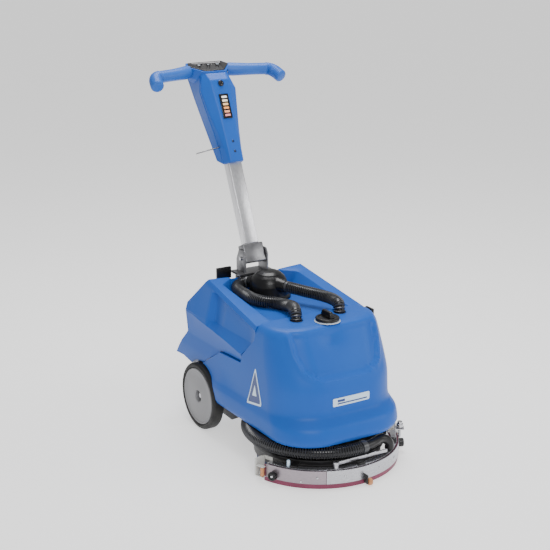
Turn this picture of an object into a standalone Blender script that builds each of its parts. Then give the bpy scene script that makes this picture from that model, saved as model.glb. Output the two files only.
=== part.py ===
"""Walk-behind wet and dry floor scrubber: round brush deck in front, two wheels behind,
two moulded tanks, a squeegee that swings round the deck, and a folding handle.

Metres, +Z up. The front of the machine points along -Y, and its right side, as the
operator sees it, is -X. The floor is z = 0. Angles round the deck are counted from
straight ahead, positive towards +X.
"""

import bmesh
import bpy
from math import cos, pi, radians, sin
from mathutils import Matrix, Vector

# ---- Driving dimensions ---------------------------------------------------------------
GAP = 0.0003                # between pieces that touch
RUN = 0.0010                # running clearance round what turns

# Wheels and axle
AXLE_Y = 0.120
WHEEL_RADIUS = 0.0965
WHEEL_FACE_X = 0.194        # outer face
TYRE_WIDTH = 0.036
DISC_RADIUS = 0.081
AXLE_RADIUS = 0.008
HUB_RECESS_RADIUS = 0.012

# Brush deck
DECK_Y = -0.205
BRUSH_RADIUS = 0.163
BRISTLE_LENGTH = 0.038
BRUSH_PLATE = 0.0095
DECK_WALL = 0.004
DECK_TOP = 0.080
DECK_SKIRT_Z = 0.022
SHAFT_RADIUS = 0.010
HUB_RADIUS = 0.035

# Squeegee, concentric with the deck
BLADE_RADIUS = 0.2158       # inner face of the outer blade
BLADE_THICKNESS = 0.003
BLADE_HEIGHT = 0.046
BLADE_SPAN = 72
RAIL_SPAN = 70
RAIL_OUTER = 0.2155
RAIL_INNER = 0.1995
RAIL_WALL = 0.003
RAIL_TOP = 0.052
RAIL_BOTTOM = 0.016
STRAP = 0.0022
STRAP_BOTTOM = 0.014
STRAP_TOP = 0.050
STRAP_SEAM = -27
KNOB_ANGLE = 63
KNOB_RADIUS = 0.0125
KNOB_LENGTH = 0.016
KNOB_Z = 0.026
ROLLER_ANGLE = 71.5
ROLLER_REACH = 0.2285       # from the deck axis to the roller's axis
ROLLER_RADIUS = 0.0056
ROLLER_LENGTH = 0.024
ROLLER_Z = 0.0165           # lower end of the roller
FRONT_ROLLER_RADIUS = 0.010
FRONT_ROLLER_WIDTH = 0.012
LEVER_X = -0.070
LEVER_LENGTH = 0.160
LEVER_HEIGHT = 0.0095
ADJUSTER_ANGLE = 57
ADJUSTER_TOP = 0.098

# Suction hose that lies round the deck
RING_RADIUS = 0.190
RING_Z = 0.088
RING_HOSE_RADIUS = 0.017
RING_START = 8
RING_END = -175

# Chassis
PLATE_BOTTOM = 0.120
PLATE_THICKNESS = 0.006
PLATE_HALF_WIDTH = 0.115
PLATE_FRONT = -0.330
PLATE_REAR = 0.162
RAIL_POST_WIDTH = 0.007
CHEEK_X = 0.117
CHEEK_THICKNESS = 0.006
UPRIGHT_Y = 0.128
UPRIGHT_DEPTH = 0.030
UPRIGHT_HALF_WIDTH = 0.045

# Tanks
BODY_BOTTOM = 0.106
TANK_WALL = 0.006
BAY_TOP = 0.212
TANK_TOP = 0.394
PARTING_GAP = 0.0014
RECESS_FLOOR = 0.382
RECESS_HALF_WIDTH = 0.098
ARCH_GAP = 0.005
FILL_Y = -0.248
FILL_RADIUS = 0.0325
NECK_RADIUS = 0.024
PORT_X = 0.068
PORT_Y = -0.204
DOME_Y = 0.048
DOME_RADIUS = 0.062
DOME_TOP = 0.459
TOP_HOSE_RADIUS = 0.016

# Handle, in a frame that leans back with the post: z up the post, y towards its back
PIVOT_Y = 0.135
PIVOT_Z = 0.475
LEAN = radians(24)
PIN_RADIUS = 0.005
BRACKET_Z = 0.430
BRACKET_PLATE = 0.006
CHEEK_GAP = 0.0335          # half the clear width of the bracket
BRACKET_WALL = 0.005
POST_HALF_WIDTH = 0.021
POST_HALF_DEPTH = 0.015
POST_WALL = 0.002
POST_START = 0.038
POST_END = 0.330
CONSOLE_START = 0.272
CONSOLE_WALL = 0.003
GRIP_RADIUS = 0.0185
HEAD_TILT = radians(38.2)
BUTTON_RADIUS = 0.006
BUTTON_TRAVEL = 0.001

# ---- Start from an empty scene --------------------------------------------------------
for old in list(bpy.data.objects):
    bpy.data.objects.remove(old, do_unlink=True)
parts = bpy.data.collections.new("floor_scrubber")
cutters = bpy.data.collections.new("cutters")
bpy.context.scene.collection.children.link(parts)
bpy.context.scene.collection.children.link(cutters)

# ---- Finishes -------------------------------------------------------------------------
FINISHES = {
    "blue_plastic": ((0.075, 0.19, 0.50), 0.42, 0.0),
    "black_plastic": ((0.015, 0.015, 0.017), 0.45, 0.0),
    "black_rubber": ((0.02, 0.02, 0.02), 0.75, 0.0),
    "wheel_grey": ((0.36, 0.36, 0.37), 0.5, 0.0),
    "aluminium": ((0.62, 0.62, 0.63), 0.35, 1.0),
    "steel": ((0.50, 0.50, 0.52), 0.28, 1.0),
    "black_steel": ((0.02, 0.02, 0.022), 0.5, 0.6),
    "blade_red": ((0.19, 0.03, 0.075), 0.5, 0.0),
    "roller_orange": ((0.60, 0.29, 0.12), 0.5, 0.0),
    "pale_plastic": ((0.75, 0.78, 0.80), 0.4, 0.0),
    "bristle": ((0.03, 0.05, 0.12), 0.8, 0.0),
    "battery_grey": ((0.08, 0.08, 0.09), 0.6, 0.0),
}


def finish(name):
    """The Principled material of one finish, made once."""
    material = bpy.data.materials.get(name)
    if material is None:
        colour, roughness, metallic = FINISHES[name]
        material = bpy.data.materials.new(name)
        material.use_nodes = True
        shader = material.node_tree.nodes["Principled BSDF"]
        shader.inputs["Base Color"].default_value = (*colour, 1.0)
        shader.inputs["Roughness"].default_value = roughness
        shader.inputs["Metallic"].default_value = metallic
    return material


# ---- Shapes ---------------------------------------------------------------------------
def from_bmesh(name, shape, material=None, parent=None):
    """An object of this mesh: a part if it has a material, and else a cutter."""
    bmesh.ops.recalc_face_normals(shape, faces=shape.faces)
    mesh = bpy.data.meshes.new(name)
    shape.to_mesh(mesh)
    shape.free()
    made = bpy.data.objects.new(name, mesh)
    if material:
        parts.objects.link(made)
        mesh.materials.append(finish(material))
        for face in mesh.polygons:
            face.use_smooth = True
        mesh.set_sharp_from_angle(angle=radians(35))
    else:
        cutters.objects.link(made)
        made.hide_render = True
        made.display_type = "WIRE"
    made.parent = parent
    return made


def loft(name, rings, material=None, parent=None):
    """A closed solid through rings of equally many points, with a face over each end."""
    shape = bmesh.new()
    loops = [[shape.verts.new(point) for point in ring] for ring in rings]
    for low, high in zip(loops, loops[1:]):
        for at in range(len(low)):
            after = (at + 1) % len(low)
            shape.faces.new((low[at], low[after], high[after], high[at]))
    shape.faces.new(loops[0])
    shape.faces.new(loops[-1])
    return from_bmesh(name, shape, material, parent)


def side_prism(name, outline, left, right, material=None, parent=None):
    """A side outline of (y, z) points, drawn out along x from left to right."""
    rings = [[(x, y, z) for y, z in outline] for x in (left, right)]
    return loft(name, rings, material, parent)


def box(name, low, high, material=None, parent=None, bevel=0.0):
    """A box between two corners, with its vertical and level edges rounded by bevel."""
    shape = bmesh.new()
    size = [b - a for a, b in zip(low, high)]
    middle = [(a + b) / 2 for a, b in zip(low, high)]
    place = Matrix.Translation(middle) @ Matrix.Diagonal((*size, 1))
    bmesh.ops.create_cube(shape, size=1, matrix=place)
    if bevel:
        bmesh.ops.bevel(
            shape, geom=shape.edges[:], offset=bevel, segments=2, affect="EDGES", profile=0.5
        )
    return from_bmesh(name, shape, material, parent)


def rod(name, start, end, radius, material=None, parent=None, sides=24, radius_end=None):
    """A round bar from start to end; radius_end makes it a cone."""
    start, end = Vector(start), Vector(end)
    turn = (end - start).to_track_quat("Z", "Y").to_matrix().to_4x4()
    shape = bmesh.new()
    bmesh.ops.create_cone(
        shape,
        cap_ends=True,
        segments=sides,
        radius1=radius,
        radius2=radius if radius_end is None else radius_end,
        depth=(end - start).length,
        matrix=Matrix.Translation((start + end) / 2) @ turn,
    )
    return from_bmesh(name, shape, material, parent)


def turned(name, profile, material, steps=36, centre=(0, 0, 0), turn=(0, 0, 0), parent=None):
    """A profile of (radius, height) points, from the top down its outer side, turned round z."""
    mesh = bpy.data.meshes.new(name)
    edges = [(at, at + 1) for at in range(len(profile) - 1)]
    if profile[0][0] > 0:
        edges.append((len(profile) - 1, 0))
    mesh.from_pydata([(radius, 0, height) for radius, height in profile], edges, [])
    made = bpy.data.objects.new(name, mesh)
    made.location = centre
    made.rotation_euler = turn
    made.parent = parent
    screw = made.modifiers.new("turn", "SCREW")
    screw.steps = steps
    screw.render_steps = steps
    screw.use_merge_vertices = True
    screw.merge_threshold = 0.00001
    if material:
        parts.objects.link(made)
        mesh.materials.append(finish(material))
    else:
        cutters.objects.link(made)
        made.hide_render = True
        made.display_type = "WIRE"
    return made


def smooth_route(points, step):
    """Points about a step apart on the smooth curve through the route's own points."""
    route = [Vector(point) for point in points]
    ends = [2 * route[0] - route[1], *route, 2 * route[-1] - route[-2]]
    fine = []
    for before, start, end, after in zip(ends, ends[1:], ends[2:], ends[3:]):
        count = max(2, round((end - start).length / step))
        for at in range(count):
            t = at / count
            fine.append(
                0.5
                * (
                    2 * start
                    + (end - before) * t
                    + (2 * before - 5 * start + 4 * end - after) * t**2
                    + (3 * start - before - 3 * end + after) * t**3
                )
            )
    return [*fine, route[-1]]


def tube(name, points, radius, material, parent=None, resolution=2):
    """A round tube along these points, with filled ends."""
    curve = bpy.data.curves.new(name, "CURVE")
    curve.dimensions = "3D"
    curve.bevel_depth = radius
    curve.bevel_resolution = resolution
    curve.use_fill_caps = True
    spline = curve.splines.new("POLY")
    spline.points.add(len(points) - 1)
    for place, point in zip(spline.points, points):
        place.co = (*point, 1)
    curve.materials.append(finish(material))
    made = bpy.data.objects.new(name, curve)
    parts.objects.link(made)
    made.parent = parent
    return made


def shape_with(made, other, operation="DIFFERENCE"):
    """Cuts or joins another mesh, which stays as a hidden helper."""
    step = made.modifiers.new(other.name, "BOOLEAN")
    step.operation = operation
    step.solver = "EXACT"
    step.object = other
    return made


def empty(name, place, turn=(0, 0, 0), parent=None):
    """A joint's frame, for the pieces that move on it."""
    made = bpy.data.objects.new(name, None)
    made.location = place
    made.rotation_euler = turn
    made.parent = parent
    parts.objects.link(made)
    return made


# ---- Wheels and axle ------------------------------------------------------------------
def wheels():
    """A grey plastic disc with a solid rubber tyre at each end of one steel axle."""
    inner_x = WHEEL_FACE_X - TYRE_WIDTH
    for side, sign in (("left", 1), ("right", -1)):
        turn = (0, sign * pi / 2, 0)
        place = (0, AXLE_Y, WHEEL_RADIUS)
        hub = empty(f"wheel_{side}_axis", place, turn)
        face = WHEEL_FACE_X - 0.002
        turned(
            f"wheel_{side}",
            [
                (HUB_RECESS_RADIUS, face - 0.001),
                (0.020, face),
                (DISC_RADIUS - 0.004, face),
                (DISC_RADIUS, face - 0.003),
                (DISC_RADIUS, inner_x + 0.003),
                (DISC_RADIUS - 0.006, inner_x + 0.003),
                (DISC_RADIUS - 0.010, inner_x + 0.014),
                (0.022, inner_x + 0.014),
                (0.020, inner_x),
                (AXLE_RADIUS + RUN, inner_x),
                (AXLE_RADIUS + RUN, face - 0.012),
                (HUB_RECESS_RADIUS, face - 0.012),
            ],
            "wheel_grey",
            steps=32,
            parent=hub,
        )
        turned(
            f"tyre_{side}",
            [
                (DISC_RADIUS + GAP, WHEEL_FACE_X - 0.004),
                (DISC_RADIUS + 0.007, WHEEL_FACE_X),
                (WHEEL_RADIUS - 0.005, WHEEL_FACE_X - 0.001),
                (WHEEL_RADIUS, WHEEL_FACE_X - 0.007),
                (WHEEL_RADIUS, inner_x + 0.007),
                (WHEEL_RADIUS - 0.005, inner_x + 0.001),
                (DISC_RADIUS + 0.007, inner_x),
                (DISC_RADIUS + GAP, inner_x + 0.004),
            ],
            "black_rubber",
            steps=32,
            parent=hub,
        )
    reach = WHEEL_FACE_X - 0.016
    rod(
        "rear_axle",
        (-reach, AXLE_Y, WHEEL_RADIUS),
        (reach, AXLE_Y, WHEEL_RADIUS),
        AXLE_RADIUS,
        "steel",
    )


# ---- Chassis --------------------------------------------------------------------------
MOTOR_RADIUS = 0.048


def chassis():
    """A welded plate: tank rails on top, axle cheeks below, and the rear upright."""
    top = PLATE_BOTTOM + PLATE_THICKNESS
    frame = box(
        "chassis_frame",
        (-PLATE_HALF_WIDTH, PLATE_FRONT, PLATE_BOTTOM),
        (PLATE_HALF_WIDTH, PLATE_REAR, top),
        "black_steel",
    )
    motor_hole = rod(
        "motor_hole",
        (0, DECK_Y, PLATE_BOTTOM - 0.01),
        (0, DECK_Y, top + 0.01),
        MOTOR_RADIUS + 0.002,
    )
    shape_with(frame, motor_hole)
    rail_front, rail_rear = DECK_Y - 0.100, DECK_Y + 0.080
    drop_front, drop_back = -0.114 + AXLE_Y, 0.045 + AXLE_Y
    cheek = [
        (drop_front, top - 0.001),
        (drop_front, 0.058),
        (-0.062 + AXLE_Y, 0.030),
        (-0.010 + AXLE_Y, 0.032),
        (drop_back - 0.020, 0.075),
        (drop_back, top - 0.001),
    ]
    for name, sign in (("left", 1), ("right", -1)):
        near, far = sign * (PLATE_HALF_WIDTH - RAIL_POST_WIDTH), sign * PLATE_HALF_WIDTH
        rail = box(
            f"tank_rail_{name}",
            (min(near, far), rail_front, PLATE_BOTTOM + 0.001),
            (max(near, far), rail_rear, BAY_TOP - GAP),
        )
        shape_with(frame, rail, "UNION")
        near, far = sign * (CHEEK_X - CHEEK_THICKNESS), sign * CHEEK_X
        plate = side_prism(f"axle_cheek_{name}", cheek, min(near, far), max(near, far))
        shape_with(frame, plate, "UNION")
    bore = rod(
        "axle_bore",
        (-CHEEK_X - 0.01, AXLE_Y, WHEEL_RADIUS),
        (CHEEK_X + 0.01, AXLE_Y, WHEEL_RADIUS),
        AXLE_RADIUS + GAP,
    )
    shape_with(frame, bore)

    wall = 0.004
    back = UPRIGHT_Y + UPRIGHT_DEPTH
    post = box(
        "rear_upright",
        (-UPRIGHT_HALF_WIDTH, UPRIGHT_Y, top + GAP),
        (UPRIGHT_HALF_WIDTH, back, BRACKET_Z - GAP),
        "black_steel",
    )
    channel = box(
        "upright_channel",
        (-UPRIGHT_HALF_WIDTH + wall, UPRIGHT_Y + wall, top - 0.01),
        (UPRIGHT_HALF_WIDTH - wall, back + 0.01, BRACKET_Z + 0.01),
    )
    shape_with(post, channel)


# ---- Tanks ----------------------------------------------------------------------------
# Front hood, level by level: height, half width, front edge y, corner radius.
HOOD = [
    (BODY_BOTTOM, 0.184, -0.382, 0.110),
    (0.122, 0.189, -0.386, 0.112),
    (0.150, 0.188, -0.379, 0.112),
    (0.176, 0.181, -0.354, 0.112),
    (0.210, 0.180, -0.350, 0.112),
    (0.250, 0.180, -0.345, 0.110),
    (0.290, 0.179, -0.329, 0.106),
    (0.330, 0.176, -0.311, 0.100),
    (0.365, 0.171, -0.296, 0.092),
    (0.385, 0.165, -0.284, 0.084),
    (TANK_TOP, 0.152, -0.268, 0.072),
]
# The line where the two tanks meet, from the top of the machine down to the wheel.
SEAM = [
    (-0.171, TANK_TOP + 0.002),
    (-0.163, 0.347),
    (-0.106, 0.290),
    (-0.103, 0.269),
    (0.012, 0.262),
    (0.129, 0.189),
]
CORNER_STEPS = 6


def hood_level(z):
    """Half width, front edge and corner radius of the hood at a height."""
    for low, high in zip(HOOD, HOOD[1:]):
        if z <= high[0]:
            break
    share = min(max((z - low[0]) / (high[0] - low[0]), 0), 1)
    return [a + (b - a) * share for a, b in zip(low[1:], high[1:])]


def hood_ring(z, rear, inset=0.0, level=None):
    """The hood's level outline: straight sides from the rear edge, and rounded front corners."""
    half, front, corner = hood_level(z if level is None else level)
    half, front, corner = half - inset, front + inset, corner - inset
    ring = [(half, rear, z)]
    for side in (1, -1):
        steps = range(CORNER_STEPS + 1)
        for at in steps if side > 0 else reversed(steps):
            angle = at / CORNER_STEPS * pi / 2
            x = half - corner + corner * cos(angle)
            ring.append((side * x, front + corner - corner * sin(angle), z))
    ring.append((-half, rear, z))
    return ring


def grown(outline, gap):
    """An open outline of (y, z) points moved sideways by a gap, to its right."""
    moved = []
    for at, point in enumerate(outline):
        before, after = outline[max(at - 1, 0)], outline[min(at + 1, len(outline) - 1)]
        along = (Vector(after) - Vector(before)).normalized()
        moved.append((point[0] + along[1] * gap, point[1] - along[0] * gap))
    return moved


def wheel_arches(made):
    """Cuts the space for each wheel out of a tank."""
    for side, sign in (("left", 1), ("right", -1)):
        inner = sign * (WHEEL_FACE_X - TYRE_WIDTH - ARCH_GAP)
        arch = rod(
            f"{made.name}_arch_{side}",
            (inner, AXLE_Y, WHEEL_RADIUS),
            (sign * (WHEEL_FACE_X + 0.03), AXLE_Y, WHEEL_RADIUS),
            WHEEL_RADIUS + ARCH_GAP,
            sides=48,
        )
        shape_with(made, arch)


def main_tank():
    """The hood is the clean water tank. Its arms run back under the recovery tank."""
    arm_end = SEAM[-1][0] + 0.010
    tank = loft("main_tank", [hood_ring(level[0], arm_end) for level in HOOD], "blue_plastic")
    top, back = TANK_TOP + 0.05, arm_end + 0.05
    edge = grown(SEAM, PARTING_GAP)
    above = [(edge[0][0], top), *edge, (edge[-1][0] + 0.03, edge[-1][1] - 0.02)]
    upper = side_prism("recovery_space", [*above, (back, edge[-1][1] - 0.02), (back, top)], -0.25, 0.25)
    shape_with(tank, upper)
    wheel_arches(tank)

    bay = [hood_ring(BODY_BOTTOM - 0.02, back, TANK_WALL, BODY_BOTTOM)]
    bay += [hood_ring(level[0], back, TANK_WALL) for level in HOOD[1:4]]
    bay += [hood_ring(BAY_TOP, back, TANK_WALL)]
    shape_with(tank, loft("motor_bay", bay))
    arms = box(
        "battery_bay",
        (-0.150, SEAM[3][0] + TANK_WALL, BAY_TOP - 0.01),
        (0.150, back, TANK_TOP),
    )
    shape_with(tank, arms)

    floor, ceiling = BAY_TOP + TANK_WALL, TANK_TOP - TANK_WALL
    rear_low, rear_high = SEAM[2][0] - 0.012, SEAM[0][0] - TANK_WALL - 0.006
    levels = [
        (floor, rear_low),
        (0.250, rear_low),
        (0.290, rear_low),
        (0.347, rear_high),
        (0.365, rear_high),
        (ceiling, rear_high),
    ]
    water = loft("water_space", [hood_ring(z, rear, TANK_WALL) for z, rear in levels])
    for name, sign in (("left", 1), ("right", -1)):
        place = sign * PORT_X
        wall = rod(
            f"port_wall_{name}",
            (place, PORT_Y, BAY_TOP - 0.01),
            (place, PORT_Y, TANK_TOP + 0.01),
            TOP_HOSE_RADIUS + 0.001 + 0.004,
            sides=20,
        )
        shape_with(water, wall)
    shape_with(tank, water)
    for name, sign in (("left", 1), ("right", -1)):
        place = sign * PORT_X
        hole = rod(
            f"port_hole_{name}",
            (place, PORT_Y, BAY_TOP - 0.01),
            (place, PORT_Y, TANK_TOP + 0.01),
            TOP_HOSE_RADIUS + 0.001,
            sides=20,
        )
        shape_with(tank, hole)
    neck = rod(
        "neck_hole", (0, FILL_Y, ceiling - 0.01), (0, FILL_Y, TANK_TOP + 0.02), NECK_RADIUS
    )
    shape_with(tank, neck)


def recovery_tank():
    """The dirty water tank: a rim round a flat recess, with a tail over each wheel."""
    crease = {-0.172: (0.168, 0.385), 0.300: (0.1405, 0.4655)}
    rings = []
    for y, (crease_x, crease_z) in crease.items():
        rim = 0.391 if y < 0 else 0.461
        half = [
            (0.176, 0.150),
            (0.181, 0.280),
            (0.177, 0.325),
            (crease_x, crease_z),
            (0.102, rim),
            (RECESS_HALF_WIDTH, RECESS_FLOOR),
        ]
        rings.append([(x, y, z) for x, z in half] + [(-x, y, z) for x, z in reversed(half)])
    rings[0] = [(x, SEAM[0][0] - 0.03, z) for x, _, z in rings[0]]
    tank = loft("recovery_tank", rings, "blue_plastic")
    top = 0.50
    outline = [
        (SEAM[0][0], top),
        *SEAM,
        (0.174, 0.171),
        (0.237, 0.182),
        (0.281, 0.179),
        (0.209, 0.265),
        (0.205, 0.351),
        (0.120, 0.436),
        (0.056, top),
    ]
    shape_with(tank, side_prism("recovery_outline", outline, -0.25, 0.25), "INTERSECT")
    wheel_arches(tank)
    notch = box(
        "upright_notch",
        (-UPRIGHT_HALF_WIDTH - 0.0015, UPRIGHT_Y - 0.0015, 0.10),
        (UPRIGHT_HALF_WIDTH + 0.0015, 0.35, 0.50),
    )
    shape_with(tank, notch)
    ceiling = RECESS_FLOOR - TANK_WALL
    inner = [
        (SEAM[0][0] + 0.012, ceiling),
        (SEAM[1][0] + 0.014, 0.345),
        (SEAM[2][0] + 0.014, 0.288),
        (0.012, 0.270),
        (0.105, 0.213),
        (0.196, 0.213),
        (0.198, 0.3445),
        (0.1665, ceiling),
    ]
    waste = side_prism("waste_space", inner, -0.157, 0.157)
    notch_wall = box(
        "notch_wall",
        (-UPRIGHT_HALF_WIDTH - 0.0015 - TANK_WALL, UPRIGHT_Y - 0.0015 - TANK_WALL, 0.15),
        (UPRIGHT_HALF_WIDTH + 0.0015 + TANK_WALL, 0.35, 0.45),
    )
    shape_with(waste, notch_wall)
    shape_with(tank, waste)
    mouth = rod(
        "dome_hole",
        (0, DOME_Y, RECESS_FLOOR - 0.03),
        (0, DOME_Y, RECESS_FLOOR + 0.02),
        DOME_RADIUS - 0.016,
        sides=32,
    )
    shape_with(tank, mouth)


def dome():
    """The suction head over the recovery tank: a dome with a lip and two hose stubs."""
    base = RECESS_FLOOR + GAP
    head = turned(
        "vacuum_dome",
        [
            (0, DOME_TOP),
            (0.018, DOME_TOP - 0.002),
            (0.034, DOME_TOP - 0.010),
            (0.046, DOME_TOP - 0.024),
            (0.053, DOME_TOP - 0.044),
            (0.055, base + 0.007),
            (DOME_RADIUS, base + 0.005),
            (DOME_RADIUS, base),
            (DOME_RADIUS - 0.014, base),
            (0.046, DOME_TOP - 0.050),
            (0.036, DOME_TOP - 0.028),
            (0.020, DOME_TOP - 0.012),
            (0, DOME_TOP - 0.008),
        ],
        "black_plastic",
        steps=24,
        centre=(0, DOME_Y, 0),
    )
    for name, inner, outer in (
        ("front", (0.004, 0.014, 0.424), FRONT_STUB),
        ("back", (-0.018, 0.072, 0.421), BACK_STUB),
    ):
        stub = rod(f"{name}_stub", inner, outer, 0.019, sides=20, radius_end=0.0165)
        shape_with(head, stub, "UNION")


# Where the stubs end: front and back.
FRONT_STUB = (0.0165, -0.0165, 0.4235)
BACK_STUB = (-0.0370, 0.0955, 0.4170)
# The two hoses from the dome to the ports in the hood.
LEFT_ROUTE = [
    (0.0169, -0.0177, 0.4235),
    (0.0195, -0.0240, 0.4234),
    (0.030, -0.047, 0.4225),
    (0.046, -0.077, 0.420),
    (0.062, -0.106, 0.418),
    (0.073, -0.137, 0.417),
    (0.0765, -0.160, 0.4165),
    (0.0750, -0.1835, 0.4145),
    (0.0720, -0.1940, 0.4117),
    (0.0692, -0.2015, 0.4045),
    (0.068, -0.204, 0.3945),
    (0.068, -0.204, 0.382),
]
RIGHT_ROUTE = [
    (-0.0377, 0.0964, 0.4168),
    (-0.0405, 0.0995, 0.4163),
    (-0.0493, 0.1050, 0.4145),
    (-0.0622, 0.1049, 0.4115),
    (-0.0735, 0.0970, 0.4075),
    (-0.0780, 0.0820, 0.4040),
    (-0.0785, 0.046, 0.4005),
    (-0.079, 0.004, 0.4000),
    (-0.067, -0.034, 0.4000),
    (-0.046, -0.060, 0.4000),
    (-0.035, -0.090, 0.4010),
    (-0.035, -0.123, 0.4060),
    (-0.046, -0.154, 0.4125),
    (-0.0575, -0.1800, 0.4135),
    (-0.0630, -0.1915, 0.4115),
    (-0.0668, -0.2008, 0.4045),
    (-0.068, -0.204, 0.3945),
    (-0.068, -0.204, 0.382),
]


def top_hoses():
    for name, route in (("left", LEFT_ROUTE), ("right", RIGHT_ROUTE)):
        points = smooth_route(route, 0.014)
        tube(f"vacuum_hose_{name}", points, TOP_HOSE_RADIUS, "black_rubber", resolution=3)


def fill_cap():
    """A screw cap with a grip bar, on a pale ring round the filler neck."""
    seat = TANK_TOP + GAP
    turned(
        "fill_neck_ring",
        [
            (NECK_RADIUS + 0.0005, seat + 0.003),
            (FILL_RADIUS + 0.002, seat + 0.0025),
            (FILL_RADIUS + 0.003, seat),
            (NECK_RADIUS + 0.0005, seat),
        ],
        "pale_plastic",
        steps=24,
        centre=(0, FILL_Y, 0),
    )
    rest = seat + 0.003 + RUN
    cap = turned(
        "fill_cap",
        [
            (0, rest + 0.008),
            (FILL_RADIUS - 0.008, rest + 0.008),
            (FILL_RADIUS - 0.001, rest + 0.005),
            (FILL_RADIUS, rest),
            (NECK_RADIUS - 0.002, rest),
            (NECK_RADIUS - 0.002, seat - 0.012),
            (0, seat - 0.012),
        ],
        "black_plastic",
        steps=24,
        centre=(0, FILL_Y, 0),
    )
    bar = box(
        "cap_bar",
        (-0.007, FILL_Y - 0.027, rest + 0.004),
        (0.007, FILL_Y + 0.027, rest + 0.024),
        bevel=0.003,
    )
    bar.location.z = 0
    shape_with(cap, bar, "UNION")


def latch():
    """The small latch that holds the hood and the recovery tank together."""
    axis = empty("latch_axis", (0.1745, -0.190, 0.3640))
    low = Vector((0.1722, -0.207, 0.3630)) - axis.location
    high = Vector((0.1805, -0.173, 0.3850)) - axis.location
    box("tank_latch", low, high, "black_plastic", parent=axis, bevel=0.0025)


# ---- Drive ----------------------------------------------------------------------------
def drive():
    """Batteries, suction motor, gear motor, and the brush that it turns."""
    floor = PLATE_BOTTOM + PLATE_THICKNESS + GAP
    box(
        "battery_pack",
        (-0.100, DECK_Y + 0.127, floor),
        (0.100, DECK_Y + 0.250, 0.232),
        "battery_grey",
        bevel=0.004,
    )
    turned(
        "vacuum_motor",
        [(0, 0.204), (0.028, 0.204), (0.030, 0.180), (0.042, 0.172), (0.042, floor), (0, floor)],
        "black_plastic",
        steps=24,
        centre=(0.063, DECK_Y + 0.077, 0),
    )
    motor_foot = DECK_TOP + GAP
    turned(
        "brush_motor",
        [
            (0, 0.205),
            (0.036, 0.205),
            (0.040, 0.200),
            (0.040, 0.140),
            (MOTOR_RADIUS + 0.008, 0.137),
            (MOTOR_RADIUS + 0.008, floor),
            (MOTOR_RADIUS, floor),
            (MOTOR_RADIUS, motor_foot),
            (0, motor_foot),
        ],
        "steel",
        steps=24,
        centre=(0, DECK_Y, 0),
    )
    brush_axis = empty("brush_axis", (0, DECK_Y, 0))
    plate_low = BRISTLE_LENGTH + GAP
    plate_top = plate_low + BRUSH_PLATE
    turned(
        "brush_bristles",
        [
            (0.070, BRISTLE_LENGTH),
            (BRUSH_RADIUS - 0.004, BRISTLE_LENGTH),
            (BRUSH_RADIUS, 0.0),
            (0.066, 0.0),
        ],
        "bristle",
        steps=32,
        parent=brush_axis,
    )
    turned(
        "brush_disc",
        [
            (0, plate_top),
            (BRUSH_RADIUS - 0.008, plate_top),
            (BRUSH_RADIUS - 0.004, plate_top - 0.002),
            (BRUSH_RADIUS - 0.004, plate_low),
            (0, plate_low),
        ],
        "blue_plastic",
        steps=32,
        parent=brush_axis,
    )
    hub_low = plate_top + GAP
    turned(
        "drive_hub",
        [
            (0, DECK_TOP),
            (SHAFT_RADIUS, DECK_TOP),
            (SHAFT_RADIUS, hub_low + 0.010),
            (HUB_RADIUS, hub_low + 0.007),
            (HUB_RADIUS, hub_low),
            (0, hub_low),
        ],
        "steel",
        steps=24,
        parent=brush_axis,
    )
    outer = BRUSH_RADIUS + DECK_WALL + 0.0055
    lip = RAIL_TOP
    turned(
        "deck_housing",
        [
            (SHAFT_RADIUS + 0.004, DECK_TOP),
            (outer - 0.012, DECK_TOP),
            (outer, DECK_TOP - 0.008),
            (outer, lip),
            (outer + 0.004, lip - 0.001),
            (outer + 0.004, lip - 0.005),
            (outer, lip - 0.008),
            (outer, DECK_SKIRT_Z),
            (outer - DECK_WALL, DECK_SKIRT_Z),
            (outer - DECK_WALL, DECK_TOP - 0.010),
            (outer - 0.013, DECK_TOP - DECK_WALL),
            (SHAFT_RADIUS + 0.004, DECK_TOP - DECK_WALL),
        ],
        "black_plastic",
        steps=36,
        centre=(0, DECK_Y, 0),
    )


# ---- Squeegee -------------------------------------------------------------------------
def polar(radius, degrees, z=0.0):
    """A point beside the deck axis, at an angle from straight ahead."""
    angle = radians(degrees)
    return Vector((radius * sin(angle), -radius * cos(angle), z))


def arc_bar(name, section, start, end, material=None, parent=None, step=5.0):
    """A section of (radius, z) points swept round the deck axis between two angles."""
    count = max(1, round((end - start) / step))
    rings = []
    for at in range(count + 1):
        degrees = start + (end - start) * at / count
        rings.append([polar(radius, degrees, z) for radius, z in section])
    return loft(name, rings, material, parent)


def strip(low, high, bottom, top):
    """The rectangle section of a flat band."""
    return [(low, bottom), (high, bottom), (high, top), (low, top)]


def polar_box(name, degrees, low, high, material=None, parent=None, bevel=0.0):
    """A box at an angle round the deck: x along the arc, y outwards, z up."""
    made = box(name, low, high, material, parent, bevel)
    turn = Matrix.Rotation(radians(degrees), 4, "Z") @ Matrix.Rotation(pi, 4, "Z")
    made.data.transform(turn)
    made.data.update()
    return made


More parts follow.
